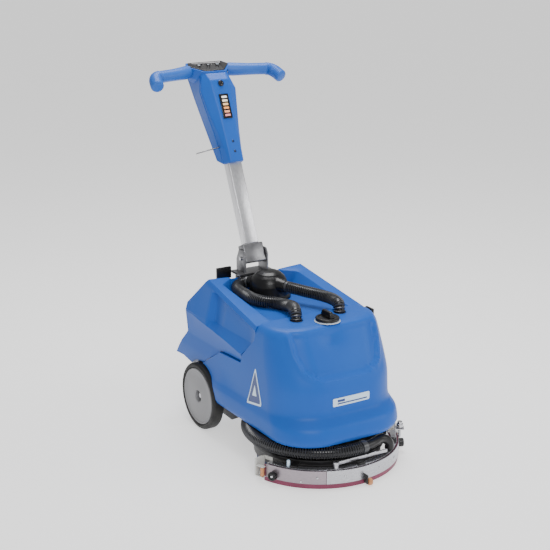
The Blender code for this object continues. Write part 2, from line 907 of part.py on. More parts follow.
def squeegee():
    """Two blades in a curved aluminium rail, carried by a ring that turns round the deck."""
    axis = empty("squeegee_axis", (0, DECK_Y, 0))
    deck_outer = BRUSH_RADIUS + DECK_WALL + 0.0055
    ring_low, ring_top = RAIL_TOP + GAP, RAIL_TOP + 0.010
    ring = turned(
        "orbit_ring",
        [
            (deck_outer + RUN, ring_top),
            (deck_outer + 0.010, ring_top),
            (deck_outer + 0.010, ring_low),
            (deck_outer + RUN, ring_low),
        ],
        "black_steel",
        steps=48,
        parent=axis,
    )
    for at, degrees in enumerate((-50, 0, 50)):
        arm = polar_box(
            f"ring_arm_{at}",
            degrees,
            (-0.010, deck_outer + 0.006, ring_low),
            (0.010, RAIL_OUTER - 0.0015, ring_low + 0.005),
            parent=axis,
        )
        shape_with(ring, arm, "UNION")
    tab = polar_box(
        "ring_tab",
        ADJUSTER_ANGLE - 4,
        (-0.006, deck_outer + 0.006, ring_low),
        (0.006, deck_outer + 0.014, ADJUSTER_TOP),
        parent=axis,
    )
    shape_with(ring, tab, "UNION")

    inner, outer = RAIL_INNER, RAIL_OUTER
    channel = [
        (inner, RAIL_BOTTOM),
        (inner + RAIL_WALL, RAIL_BOTTOM),
        (inner + RAIL_WALL, RAIL_TOP - 0.005),
        (outer - RAIL_WALL, RAIL_TOP - 0.005),
        (outer - RAIL_WALL, RAIL_BOTTOM),
        (outer, RAIL_BOTTOM),
        (outer, RAIL_TOP),
        (inner, RAIL_TOP),
    ]
    arc_bar("squeegee_rail", channel, -RAIL_SPAN, RAIL_SPAN, "aluminium", axis)
    blade_outer = BLADE_RADIUS + BLADE_THICKNESS
    arc_bar(
        "outer_blade",
        strip(BLADE_RADIUS, blade_outer, 0, BLADE_HEIGHT),
        -BLADE_SPAN,
        BLADE_SPAN,
        "blade_red",
        axis,
    )
    arc_bar(
        "inner_blade",
        strip(inner - GAP - BLADE_THICKNESS, inner - GAP, 0, BLADE_HEIGHT),
        -RAIL_SPAN,
        RAIL_SPAN,
        "blade_red",
        axis,
    )
    strap_low = blade_outer + GAP
    section = strip(strap_low, strap_low + STRAP, STRAP_BOTTOM, STRAP_TOP)
    arc_bar("outer_strap_right", section, -RAIL_SPAN, STRAP_SEAM - 0.1, "aluminium", axis)
    arc_bar("outer_strap_left", section, STRAP_SEAM + 0.1, RAIL_SPAN, "aluminium", axis)
    strap_far = inner - 2 * GAP - BLADE_THICKNESS
    section = strip(strap_far - STRAP, strap_far, RAIL_BOTTOM, STRAP_TOP)
    arc_bar("inner_strap", section, -RAIL_SPAN, RAIL_SPAN, "aluminium", axis)

    face = strap_low + STRAP + GAP
    for side, sign in (("left", 1), ("right", -1)):
        start = polar(face, sign * KNOB_ANGLE, KNOB_Z)
        end = polar(face + KNOB_LENGTH, sign * KNOB_ANGLE, KNOB_Z)
        rod(f"strap_knob_{side}", start, end, KNOB_RADIUS, "black_plastic", axis, sides=20)

        low = polar(ROLLER_REACH, sign * ROLLER_ANGLE, ROLLER_Z)
        high = polar(ROLLER_REACH, sign * ROLLER_ANGLE, ROLLER_Z + ROLLER_LENGTH)
        rod(f"guide_roller_{side}", low, high, ROLLER_RADIUS, "roller_orange", axis, sides=20)
        angle = ROLLER_ANGLE + 3.2
        bracket = polar_box(
            f"roller_bracket_{side}",
            sign * angle,
            (-0.0015, 0.200, ROLLER_Z - 0.004),
            (0.0015, ROLLER_REACH + 0.008, 0.063),
            "aluminium",
            axis,
        )
        for name, bottom in (("low", ROLLER_Z - 0.004), ("high", ROLLER_Z + ROLLER_LENGTH + 0.001)):
            near, far = (-0.001, 0.018) if sign < 0 else (-0.018, 0.001)
            jaw = polar_box(
                f"roller_jaw_{name}_{side}",
                sign * angle,
                (near, ROLLER_REACH - 0.0055, bottom),
                (far, ROLLER_REACH + 0.007, bottom + 0.003),
                parent=axis,
            )
            shape_with(bracket, jaw, "UNION")
        near, far = (-0.001, 0.032) if sign < 0 else (-0.032, 0.001)
        foot = polar_box(
            f"roller_foot_{side}",
            sign * angle,
            (near, 0.2045, RAIL_TOP + GAP),
            (far, 0.2125, RAIL_TOP + 0.0035),
            parent=axis,
        )
        shape_with(bracket, foot, "UNION")

    reach = face + FRONT_ROLLER_RADIUS + 0.0012
    polar_box(
        "front_roller_bracket",
        0,
        (-0.0035, face, 0.005),
        (0.0005, reach + 0.004, 0.030),
        "black_steel",
        axis,
        bevel=0.0008,
    )
    rod(
        "front_roller",
        (0.0045, -reach, FRONT_ROLLER_RADIUS),
        (0.0045 + FRONT_ROLLER_WIDTH, -reach, FRONT_ROLLER_RADIUS),
        FRONT_ROLLER_RADIUS,
        "roller_orange",
        axis,
    )
    swing_lever(axis)
    adjuster(axis)
    suction(axis)


def swing_lever(axis):
    """The flat locking lever on top of the rail, turning on a post at its right end."""
    middle = (RAIL_INNER + RAIL_OUTER) / 2
    pivot_y = -(middle**2 - LEVER_X**2) ** 0.5
    low = RAIL_TOP + GAP
    seat = low + 0.0075
    post = turned(
        "lever_post",
        [
            (0, seat + LEVER_HEIGHT),
            (0.0035, seat + LEVER_HEIGHT),
            (0.0035, seat),
            (0.007, seat - GAP),
            (0.007, low),
            (0, low),
        ],
        "steel",
        steps=20,
        centre=(LEVER_X, pivot_y, 0),
        parent=axis,
    )
    pivot = empty("lever_axis", post.location, parent=axis)
    lever = turned(
        "swing_lever",
        [
            (0.0035 + GAP, seat + LEVER_HEIGHT - GAP),
            (0.008, seat + LEVER_HEIGHT - GAP),
            (0.008, seat + GAP),
            (0.0035 + GAP, seat + GAP),
        ],
        "aluminium",
        steps=20,
        parent=pivot,
    )
    arm = box(
        "lever_arm",
        (0.006, -0.003, seat + GAP),
        (LEVER_LENGTH, 0.002, seat + LEVER_HEIGHT - GAP),
        parent=pivot,
        bevel=0.001,
    )
    shape_with(lever, arm, "UNION")


def adjuster(axis):
    """The bracket and screw that set the blade's height at the left end."""
    foot = RAIL_TOP + GAP
    bracket = polar_box(
        "adjuster_bracket",
        ADJUSTER_ANGLE,
        (-0.013, 0.2035, foot),
        (0.013, 0.2115, foot + 0.003),
        "aluminium",
        axis,
    )
    pieces = (
        ("wall", (-0.0125, 0.2082, foot + 0.001), (0.0125, 0.2112, 0.084)),
        ("shelf", (-0.011, 0.2095, 0.077), (0.011, 0.2340, 0.080)),
    )
    for name, low, high in pieces:
        piece = polar_box(f"adjuster_{name}", ADJUSTER_ANGLE, low, high, parent=axis)
        shape_with(bracket, piece, "UNION")
    screw = polar(0.2225, ADJUSTER_ANGLE)
    hole = rod(
        "adjuster_hole",
        (screw.x, screw.y, 0.070),
        (screw.x, screw.y, 0.090),
        0.0048,
        parent=axis,
        sides=16,
    )
    shape_with(bracket, hole)
    turned(
        "adjuster_screw",
        [
            (0, ADJUSTER_TOP),
            (0.0095, ADJUSTER_TOP),
            (0.0095, 0.0812),
            (0.004, 0.0812),
            (0.004, STRAP_TOP + 0.002),
            (0, STRAP_TOP + 0.002),
        ],
        "steel",
        steps=20,
        centre=screw,
        parent=axis,
    )


def suction(axis):
    """The pipe on the rail, the corrugated hose round the deck, and the elbow on the chassis."""
    arc = [polar(RING_RADIUS, degrees, RING_Z) for degrees in (RING_START + 0.7, 14, 20, 26)]
    drop = [
        polar(0.1945, 30, RING_Z - 0.002),
        polar(0.201, 33, RING_Z - 0.010),
        polar(0.2060, 34.5, RING_Z - 0.020),
        polar(0.2060, 34.5, RAIL_TOP + GAP),
    ]
    tube("suction_pipe", [*arc, *drop], 0.0125, "black_plastic", axis, resolution=3)

    ring = [
        polar(RING_RADIUS, RING_START + (RING_END - RING_START) * at / 44, RING_Z)
        for at in range(45)
    ]
    tube("squeegee_hose", ring, RING_HOSE_RADIUS, "black_rubber", axis)

    turn = Matrix.Translation((0, DECK_Y, 0))
    rise = [
        polar(RING_RADIUS, RING_END - 0.7, RING_Z),
        polar(RING_RADIUS, RING_END - 5, RING_Z),
        polar(RING_RADIUS, RING_END - 9, RING_Z + 0.003),
        polar(RING_RADIUS, RING_END - 12, RING_Z + 0.011),
        polar(RING_RADIUS, RING_END - 13, RING_Z + 0.021),
        polar(RING_RADIUS, RING_END - 13, PLATE_BOTTOM - GAP),
    ]
    tube("suction_elbow", [turn @ point for point in rise], 0.0140, "black_plastic", resolution=3)


# ---- Handle ---------------------------------------------------------------------------
# The console's front cover at each height up the post: half width of its face, of its shoulder
# line and at the split between the covers, and how far back the shoulder line lies.
CONSOLE_LEVELS = [
    (CONSOLE_START, 0.0205, 0.0250, 0.0308, -0.0215),
    (0.308, 0.0200, 0.0265, 0.0315, -0.0215),
    (0.368, 0.0205, 0.0366, 0.0385, -0.0157),
    (0.425, 0.0220, 0.0476, 0.0475, -0.0110),
    (0.488, 0.0270, 0.0575, 0.0560, -0.0100),
    (0.511, 0.0290, 0.0490, 0.0485, -0.0100),
]
# The back of the console beside each of those heights: how far back, height, half width.
CONSOLE_BACK = [
    (0.0305, 0.290, 0.0335),
    (0.0345, 0.308, 0.0340),
    (0.0486, 0.368, 0.0354),
    (0.0618, 0.425, 0.0368),
    (0.0758, 0.488, 0.0384),
    (0.0900, 0.554, 0.0390),
]
CONSOLE_FACE = -0.0300
SPLIT = 0.0
SPLIT_TOP = 0.5495


def mirrored(half):
    """A ring from the points of its right half."""
    return half + [(-x, y, z) for x, y, z in reversed(half)]


def front_shell(name, wall, split, material=None, parent=None):
    """The front cover's outside, or what is left inside a wall of it."""
    rings = []
    for up, face, shoulder, side, back in CONSOLE_LEVELS:
        half = [
            (face - wall * 0.7, CONSOLE_FACE + wall, up),
            (shoulder - wall * 1.2, back + wall * 0.3, up),
            (side - wall, split, up),
        ]
        rings.append(mirrored(half))
    rings[0] = [(x, y, z + wall) for x, y, z in rings[0]]
    rings[-1] = [(x, y, z - wall) for x, y, z in rings[-1]]
    crown = [
        (0.0300 - wall, -0.0150 + wall, 0.5365 - 1.3 * wall),
        (0.0400 - wall * 1.2, -0.0080 + wall * 0.3, 0.5426 - 2.0 * wall),
        (0.0400 - wall, split, SPLIT_TOP - 2.6 * wall),
    ]
    rings.append(mirrored(crown))
    return loft(name, rings, material, parent)


def rear_shell(name, wall, split, material=None, parent=None):
    """The rear cover's outside below the head, or what is left inside a wall of it."""
    rings = []
    for (up, _, _, side, _), (back, back_up, half) in zip(CONSOLE_LEVELS, CONSOLE_BACK):
        rings.append(mirrored([(side - wall, split, up), (half - wall, back - 1.6 * wall, back_up)]))
    rings[0] = [(x, y, z + 1.8 * wall) for x, y, z in rings[0]]
    rings[-1] = [(x, y, z - 1.2 * wall) for x, y, z in rings[-1]]
    rings.append(
        mirrored(
            [
                (0.0400 - wall, split, SPLIT_TOP - 4.5 * wall),
                (0.0390 - wall, 0.0500 - wall, 0.5830 - 4.3 * wall),
            ]
        )
    )
    return loft(name, rings, material, parent)


def handle():
    """The post on its pivot, and all that it carries."""
    frame = empty("handle_axis", (0, PIVOT_Y, PIVOT_Z), (-LEAN, 0, 0))
    bracket()
    post(frame)
    console(frame)
    display(frame)
    grips(frame)
    levers(frame)


def bracket():
    """The steel fork on the upright, with its pin, that the post folds in."""
    low, wide = BRACKET_Z, CHEEK_GAP + BRACKET_WALL
    front, back = PIVOT_Y - 0.023, PIVOT_Y + 0.031
    fork = box(
        "hinge_bracket",
        (-0.055, front, low),
        (0.055, back, low + BRACKET_PLATE),
        "steel",
    )
    cheek = [
        (front + 0.002, low + 0.001),
        (front + 0.002, PIVOT_Z + 0.010),
        (front + 0.012, PIVOT_Z + 0.025),
        (back - 0.018, PIVOT_Z + 0.025),
        (back - 0.004, PIVOT_Z - 0.005),
        (back - 0.004, low + 0.001),
    ]
    for side, sign in (("left", 1), ("right", -1)):
        near, far = sign * CHEEK_GAP, sign * wide
        wall = side_prism(f"bracket_cheek_{side}", cheek, min(near, far), max(near, far))
        shape_with(fork, wall, "UNION")
    reach = wide + 0.004
    ends = (-reach, PIVOT_Y, PIVOT_Z), (reach, PIVOT_Y, PIVOT_Z)
    shape_with(fork, rod("pin_bore", *ends, PIN_RADIUS + GAP, sides=20))
    rod("hinge_pin", *ends, PIN_RADIUS, "steel", sides=20)


def post(frame):
    """The aluminium tube and the cast foot that joins it to the pin."""
    half = CHEEK_GAP - RUN
    foot = box(
        "post_foot",
        (-half, -0.016, -0.016),
        (half, 0.016, POST_START - GAP),
        "aluminium",
        frame,
        bevel=0.003,
    )
    plug = box(
        "foot_plug",
        (-POST_HALF_WIDTH + POST_WALL + GAP, -POST_HALF_DEPTH + POST_WALL + GAP, 0.030),
        (POST_HALF_WIDTH - POST_WALL - GAP, POST_HALF_DEPTH - POST_WALL - GAP, POST_START + 0.020),
        parent=frame,
    )
    shape_with(foot, plug, "UNION")
    bore = rod("foot_bore", (-0.06, 0, 0), (0.06, 0, 0), PIN_RADIUS + 2 * GAP, parent=frame, sides=20)
    shape_with(foot, bore)
    beam = box(
        "handle_post",
        (-POST_HALF_WIDTH, -POST_HALF_DEPTH, POST_START),
        (POST_HALF_WIDTH, POST_HALF_DEPTH, POST_END),
        "aluminium",
        frame,
        bevel=0.002,
    )
    hollow = box(
        "post_hollow",
        (-POST_HALF_WIDTH + POST_WALL, -POST_HALF_DEPTH + POST_WALL, POST_START - 0.01),
        (POST_HALF_WIDTH - POST_WALL, POST_HALF_DEPTH - POST_WALL, POST_END + 0.01),
        parent=frame,
    )
    shape_with(beam, hollow)


def console(frame):
    """Front and rear covers, screwed together round the top of the post."""
    clearance = 2 * GAP
    hole = box(
        "post_socket",
        (-POST_HALF_WIDTH - clearance, -POST_HALF_DEPTH - clearance, CONSOLE_START - 0.03),
        (POST_HALF_WIDTH + clearance, POST_HALF_DEPTH + clearance, POST_END + 0.002),
        parent=frame,
    )
    front = front_shell("console_front_cover", 0.0, SPLIT - GAP / 2, "blue_plastic", frame)
    shape_with(front, front_shell("front_hollow", CONSOLE_WALL, SPLIT + 0.01, None, frame))
    shape_with(front, hole)

    back = rear_shell("console_rear_cover", 0.0, SPLIT + GAP / 2, "blue_plastic", frame)
    shape_with(back, head_block(frame), "UNION")
    shape_with(back, rear_shell("rear_hollow", CONSOLE_WALL, SPLIT - 0.01, None, frame))
    shape_with(back, hole)


# Half of the display's outline on its own tilted plane: (half width, distance back).
DISPLAY = [(0.030, 0.000), (0.066, 0.043), (0.054, 0.066)]
DISPLAY_THICKNESS = 0.003
HEAD_FRONT = (-0.0125, 0.5418)


def on_head(x, along, lift):
    """A point on the console's tilted top: along it towards the back, and lifted off it."""
    y = HEAD_FRONT[0] + along * cos(HEAD_TILT) - lift * sin(HEAD_TILT)
    z = HEAD_FRONT[1] + along * sin(HEAD_TILT) + lift * cos(HEAD_TILT)
    return (x, y, z)


def head_ring(widen, lift):
    """The display's outline, widened all round, at a height over the tilted top."""
    half = []
    for at, (x, along) in enumerate(DISPLAY):
        push = (-widen, 0, widen)[at]
        half.append((x + widen, along + push))
    ring = [on_head(x, along, lift) for x, along in half]
    return ring + [on_head(-x, along, lift) for x, along in reversed(half)]


def head_block(frame):
    """The six-sided head that the display lies on and the grips grow out of."""
    rings = [head_ring(-0.012, -0.046), head_ring(0.002, -0.030), head_ring(0.005, 0.0)]
    rings = [[(x, max(y, SPLIT + GAP / 2), z) for x, y, z in ring] for ring in rings]
    return loft("console_head", rings, parent=frame)


def display(frame):
    """The black display glass, three push buttons in it, and the charge display below."""
    glass = loft(
        "display_panel",
        [head_ring(0, GAP), head_ring(0, GAP + DISPLAY_THICKNESS)],
        "black_plastic",
        frame,
    )
    for at, x in enumerate((-0.030, 0.0, 0.030)):
        start = on_head(x, 0.042, -0.002)
        end = on_head(x, 0.042, 0.010)
        hole = rod(f"button_hole_{at}", start, end, BUTTON_RADIUS + 0.0005, parent=frame, sides=20)
        shape_with(glass, hole)
        bottom = on_head(x, 0.042, GAP + BUTTON_TRAVEL + 0.0002)
        top = on_head(x, 0.042, GAP + DISPLAY_THICKNESS + 0.0008)
        rod(f"button_{at + 1}", bottom, top, BUTTON_RADIUS, "black_plastic", frame, sides=20)
    face = CONSOLE_FACE - GAP
    box(
        "charge_display",
        (-0.0148, face - 0.0022, 0.397),
        (0.0148, face, 0.469),
        "black_plastic",
        frame,
        bevel=0.0006,
    )
    rod(
        "power_button",
        (0, face - 0.0040, 0.500),
        (0, face - BUTTON_TRAVEL - 0.0002, 0.500),
        0.009,
        "black_plastic",
        frame,
    )


# The grip's own axis in the handle's frame, from the console's head to its tip.
GRIP_ROUTE = [
    (0.078, 0.0235, 0.5530),
    (0.127, 0.0070, 0.5449),
    (0.160, -0.0005, 0.5410),
    (0.181, -0.0060, 0.5370),
    (0.193, -0.0165, 0.5260),
    (0.201, -0.0362, 0.5016),
]


def grips(frame):
    """The two arms that the operator holds, bent forward and down at their ends."""
    for side, sign in (("left", 1), ("right", -1)):
        route = [(sign * x, y, z) for x, y, z in GRIP_ROUTE]
        points = smooth_route(route, 0.014)
        tube(f"grip_{side}", points, GRIP_RADIUS, "blue_plastic", frame, resolution=3)


def levers(frame):
    """The release lever at the foot of the console, and the lock lever beside the bracket."""
    pivot = empty("release_axis", (-0.0338, -0.0040, 0.3225), (0, radians(-8), 0), frame)
    box(
        "release_lever",
        (-0.075, -0.0065, -0.0013),
        (-0.001, 0.0065, 0.0013),
        "steel",
        pivot,
        bevel=0.0008,
    )
    lock = empty("lock_axis", (-0.0555, PIVOT_Y + 0.028, BRACKET_Z + 0.003))
    box(
        "fold_lock_lever",
        (-0.047, -0.004, -0.017),
        (-0.001, 0.004, 0.016),
        "black_plastic",
        lock,
        bevel=0.0012,
    )


# ---- Build ----------------------------------------------------------------------------
wheels()
chassis()
main_tank()
recovery_tank()
dome()
top_hoses()
fill_cap()
latch()
drive()
squeegee()
handle()
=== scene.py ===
from math import cos, exp, pi, radians, sin

import bmesh
import bpy
from mathutils import Matrix, Vector


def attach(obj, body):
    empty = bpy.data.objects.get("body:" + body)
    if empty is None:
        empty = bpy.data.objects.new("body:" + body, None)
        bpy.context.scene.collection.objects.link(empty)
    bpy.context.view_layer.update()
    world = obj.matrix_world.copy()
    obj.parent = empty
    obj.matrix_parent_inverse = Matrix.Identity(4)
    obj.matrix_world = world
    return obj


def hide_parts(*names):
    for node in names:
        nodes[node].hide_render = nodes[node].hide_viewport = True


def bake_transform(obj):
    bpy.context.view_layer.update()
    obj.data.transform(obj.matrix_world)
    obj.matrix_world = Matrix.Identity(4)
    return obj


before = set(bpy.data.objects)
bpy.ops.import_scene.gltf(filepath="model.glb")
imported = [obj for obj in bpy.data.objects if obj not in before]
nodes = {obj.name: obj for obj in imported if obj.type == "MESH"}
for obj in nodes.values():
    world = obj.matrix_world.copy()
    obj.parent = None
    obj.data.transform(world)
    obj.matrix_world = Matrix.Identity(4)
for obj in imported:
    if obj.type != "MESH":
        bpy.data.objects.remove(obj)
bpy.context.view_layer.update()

# ---- Camera, floor and lights ----------------------------------------------------------
# A plain studio: a pale floor that runs out of sight, a white surround, and three large
# soft lights, one over each shoulder and one above.
view = bpy.data.cameras.new("view")
view.sensor_width = 36
view.lens = 85.45
view_point = bpy.data.objects.new("view", view)
view_point.location = (-1.7998, -2.934, 1.4874)
view_point.rotation_euler = (radians(90 - 16.69), 0, radians(-31.4))
bpy.context.scene.collection.objects.link(view_point)
bpy.context.scene.camera = view_point


def only(piece):
    """Selects this piece alone, and makes it active."""
    bpy.ops.object.select_all(action="DESELECT")
    piece.select_set(True)
    bpy.context.view_layer.objects.active = piece


bpy.ops.object.select_all(action="DESELECT")
bpy.ops.mesh.primitive_plane_add(size=70, location=(0, 12, -0.0005))
floor = bpy.context.active_object
floor.name = "floor"

studio = bpy.data.worlds.new("studio")
studio.use_nodes = True
studio.node_tree.nodes["Background"].inputs["Color"].default_value = (1, 1, 1, 1)
studio.node_tree.nodes["Background"].inputs["Strength"].default_value = 0.42
bpy.context.scene.world = studio
for name, place, size, power in (
    ("key", (-1.2, -3.0, 2.4), 1.6, 74),
    ("fill", (2.4, -2.2, 1.4), 1.6, 30),
    ("top", (0.3, 0.6, 2.8), 1.6, 84),
):
    lamp = bpy.data.lights.new(name, "AREA")
    lamp.size = size
    lamp.energy = power
    lit = bpy.data.objects.new(name, lamp)
    lit.location = place
    lit.rotation_euler = (Vector(place) - Vector((0, -0.05, 0.35))).to_track_quat("Z", "Y").to_euler()
    bpy.context.scene.collection.objects.link(lit)


# ---- Wheels ----------------------------------------------------------------------------
# Each wheel is a grey moulded disc with a solid black rubber tyre, held on the steel axle by
# a screw at the bottom of a small hexagonal recess.
class Wire:
    """A socket in a material, with arithmetic that adds Math nodes to it."""

    def __init__(self, tree, socket=None):
        self.tree = tree
        self.socket = socket

    def node(self, kind, settings=None, sockets=None, output=0):
        """Any other node: its settings, then the values or wires of its sockets."""
        made = self.tree.nodes.new("ShaderNode" + kind)
        for name, value in (settings or {}).items():
            setattr(made, name, value)
        for name, value in (sockets or {}).items():
            if isinstance(value, Wire):
                self.tree.links.new(value.socket, made.inputs[name])
            else:
                made.inputs[name].default_value = value
        return Wire(self.tree, made.outputs[output])

    def maths(self, operation, first, second):
        return self.node("Math", {"operation": operation}, {0: first, 1: second})

    def __add__(self, other):
        return self.maths("ADD", self, other)

    def __sub__(self, other):
        return self.maths("SUBTRACT", self, other)

    def __rsub__(self, other):
        return self.maths("SUBTRACT", other, self)

    def __mul__(self, other):
        return self.maths("MULTIPLY", self, other)

    __radd__ = __add__
    __rmul__ = __mul__

    def above(self, low, high):
        """0 below low, 1 above high, and straight between."""
        return self.node("MapRange", None, {"Value": self, "From Min": low, "From Max": high})


def finish(name, colour, other, rough, uneven=0.08, blotch=9, grain=700, depth=0.0004,
           strength=0.25, metal=0.0, brushed=None, coat=0.0, shine=0.5, dusty=0.0):
    """A finish that varies over the surface: two close colours in soft blotches, uneven
    roughness, a fine grain in relief, brushing along one axis, and dust low down."""
    made = bpy.data.materials.new(name)
    made.use_nodes = True
    shader = made.node_tree.nodes["Principled BSDF"]
    tree = Wire(made.node_tree)
    place = tree.node("TexCoord", output=3)
    if brushed:
        place = tree.node("Mapping", None, {"Vector": place, "Scale": brushed})
    soft = tree.node("TexNoise", None, {"Vector": place, "Scale": blotch, "Detail": 4.0})
    fine = tree.node("TexNoise", None, {"Vector": place, "Scale": grain, "Detail": 2.0})
    patch = soft.above(0.35, 0.68)
    blend = tree.node("Mix", {"data_type": "RGBA"},
                      {0: patch, 6: (*colour, 1), 7: (*other, 1)}, output=2)
    if dusty:
        height = tree.node("SeparateXYZ", None, {0: tree.node("TexCoord", output=3)}, output=2)
        low = (1 - height.above(0.0, 0.16)) * soft.above(0.3, 0.75) * dusty
        blend = tree.node("Mix", {"data_type": "RGBA"},
                          {0: low, 6: blend, 7: (0.42, 0.40, 0.37, 1)}, output=2)
    links = made.node_tree.links
    links.new(blend.socket, shader.inputs["Base Color"])
    level = soft * uneven + fine * (uneven * 0.5) + (rough - uneven * 0.75)
    links.new(level.socket, shader.inputs["Roughness"])
    relief = tree.node("Bump", None, {"Strength": strength, "Distance": depth, "Height": fine})
    links.new(relief.socket, shader.inputs["Normal"])
    shader.inputs["Metallic"].default_value = metal
    shader.inputs["Coat Weight"].default_value = coat
    shader.inputs["Coat Roughness"].default_value = 0.12
    shader.inputs["Specular IOR Level"].default_value = shine
    return made


def wear(piece, material, body, slot, *stands_for):
    """Gives a finished piece its place, finish, body and the CAD nodes it stands for."""
    only(piece)
    bpy.ops.object.transform_apply(location=True, rotation=True, scale=True)
    piece.data.materials.clear()
    piece.data.materials.append(material)
    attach(piece, body)
    if stands_for:
        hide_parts(*stands_for)
    return piece


def keep(material, *names):
    """Gives CAD nodes that stay a better finish."""
    for name in names:
        node = nodes[name]
        for at in range(len(node.material_slots)):
            node.material_slots[at].material = material
        if not node.material_slots:
            node.data.materials.append(material)


def smoothed(piece, degrees):
    """Shades the piece smooth, but for edges sharper than this."""
    only(piece)
    bpy.ops.object.shade_smooth_by_angle(angle=radians(degrees))
    return piece


def as_piece(name, shape):
    """A piece in the scene with the faces of this shape."""
    mesh = bpy.data.meshes.new(name)
    shape.to_mesh(mesh)
    shape.free()
    piece = bpy.data.objects.new(name, mesh)
    bpy.context.scene.collection.objects.link(piece)
    return piece


def solid(name, rings, smooth=30):
    """A closed solid through rings of equally many points."""
    shape = bmesh.new()
    loops = [[shape.verts.new(point) for point in ring] for ring in rings]
    for low, high in zip(loops, loops[1:]):
        for at in range(len(low)):
            after = (at + 1) % len(low)
            shape.faces.new((low[at], low[after], high[after], high[at]))
    shape.faces.new(loops[0])
    shape.faces.new(loops[-1])
    bmesh.ops.remove_doubles(shape, verts=shape.verts, dist=1e-6)
    bmesh.ops.recalc_face_normals(shape, faces=shape.faces)
    return smoothed(as_piece(name, shape), smooth)


def apply(piece, kind, **settings):
    """Adds one modifier with these settings, and applies it."""
    only(piece)
    step = piece.modifiers.new(kind, kind)
    for name, value in settings.items():
        setattr(step, name, value)
    bpy.ops.object.modifier_apply(modifier=step.name)
    return piece


def rounded(piece, width, segments, angle=30):
    """Rounds the piece's sharp edges."""
    apply(piece, "BEVEL", width=width, segments=segments, limit_method="ANGLE",
          angle_limit=radians(angle), use_clamp_overlap=True)
    return smoothed(piece, angle)


def combine(piece, *shapes, how="DIFFERENCE"):
    """Cuts these shapes from the piece, joins them on, or keeps the overlap, and removes them."""
    for shape in shapes:
        apply(piece, "BOOLEAN", object=shape, solver="EXACT", operation=how)
        bpy.data.objects.remove(shape)
    return piece


def turned(name, profile, steps, centre, turn=(0, 0, 0)):
    """A closed profile of (radius, height) points turned round z, then placed."""
    rings = []
    for at in range(steps):
        angle = 2 * pi * at / steps
        rings.append([(radius * cos(angle), radius * sin(angle), z) for radius, z in profile])
    shape = bmesh.new()
    loops = [[shape.verts.new(point) for point in ring] for ring in rings]
    count = len(profile)
    for at in range(steps):
        one, two = loops[at], loops[(at + 1) % steps]
        for low in range(count):
            high = (low + 1) % count
            corners = (one[low], one[high], two[high], two[low])
            if (corners[0].co - corners[3].co).length < 1e-7:
                if (corners[1].co - corners[2].co).length < 1e-7:
                    continue
            shape.faces.new(corners)
    bmesh.ops.remove_doubles(shape, verts=shape.verts, dist=1e-7)
    bmesh.ops.dissolve_degenerate(shape, edges=shape.edges, dist=1e-8)
    bmesh.ops.recalc_face_normals(shape, faces=shape.faces)
    piece = as_piece(name, shape)
    piece.location = centre
    piece.rotation_euler = turn
    return smoothed(piece, 32)


def fillet(profile, radius, steps=4):
    """The profile with each corner cut back to a small round."""
    points = []
    for at, here in enumerate(profile):
        before = Vector(profile[at - 1])
        here = Vector(here)
        after = Vector(profile[(at + 1) % len(profile)])
        if here.x < 1e-6:
            points.append(tuple(here))
            continue
        start = here + (before - here).normalized() * min(radius, (before - here).length * 0.4)
        end = here + (after - here).normalized() * min(radius, (after - here).length * 0.4)
        for k in range(steps + 1):
            t = k / steps
            points.append(tuple(start * (1 - t) ** 2 + here * (2 * t * (1 - t)) + end * t**2))
    return points


def glowing(material, colour, strength):
    """Makes a finish give off light."""
    shader = material.node_tree.nodes["Principled BSDF"]
    shader.inputs["Emission Color"].default_value = (*colour, 1)
    shader.inputs["Emission Strength"].default_value = strength


pale_floor = finish("pale_floor", (0.62, 0.62, 0.62), (0.61, 0.61, 0.61), 0.7, blotch=2, grain=200,
                    strength=0.0, shine=0.1)
glowing(pale_floor, (1, 1, 1), 0.85)
floor.data.materials.append(pale_floor)
wheel_grey = finish("wheel_grey", (0.225, 0.225, 0.235), (0.19, 0.19, 0.20), 0.46, dusty=0.12)
tyre_black = finish("tyre_black", (0.007, 0.007, 0.008), (0.012, 0.012, 0.012), 0.58,
                    blotch=30, grain=420, strength=0.5, shine=0.3, dusty=0.12)
steel_bright = finish("steel_bright", (0.56, 0.56, 0.58), (0.46, 0.46, 0.49), 0.26, metal=1.0,
                      brushed=(60, 6, 6), grain=60, strength=0.12)
hub = (0, 0.12, 0.0965)
for side, sign in (("left", 1), ("right", -1)):
    turn = (0, sign * pi / 2, 0)
    tyre = turned(
        f"tyre_ring_{side}",
        fillet([(0.0812, 0.190), (0.0865, 0.1938), (0.0925, 0.1930), (0.0965, 0.188),
                (0.0965, 0.164), (0.0925, 0.159), (0.0865, 0.1582), (0.0812, 0.162)], 0.002),
        96, hub, turn)
    wear(tyre, tyre_black, f"{side}_wheel", "tyre_rubber", f"tyre_{side}")
    disc = turned(
        f"wheel_disc_{side}",
        fillet([(0.0165, 0.1905), (0.0195, 0.1918), (0.030, 0.1915), (0.060, 0.1905),
                (0.0735, 0.1910), (0.0760, 0.1930), (0.0800, 0.1930), (0.0811, 0.1900),
                (0.0811, 0.161), (0.076, 0.161), (0.070, 0.172), (0.024, 0.172), (0.021, 0.158),
                (0.0092, 0.158), (0.0092, 0.178), (0.0165, 0.178)], 0.0012, 3),
        96, hub, turn)
    hexagon = turned("hub_recess", [(0, 0.20), (0.0182, 0.20), (0.0182, 0.1785), (0, 0.1785)],
                     6, hub, turn)
    combine(disc, hexagon)
    wear(disc, wheel_grey, f"{side}_wheel", "wheel_grey", f"wheel_{side}")
    screw = turned(
        f"wheel_screw_{side}",
        fillet([(0, 0.1850), (0.0065, 0.1850), (0.0085, 0.1830), (0.0085, 0.1787),
                (0, 0.1787)], 0.0008),
        32, hub, turn)
    wear(screw, steel_bright, f"{side}_wheel", "steel")
keep(steel_bright, "rear_axle", "drive_hub", "brush_motor", "hinge_pin", "lever_post")

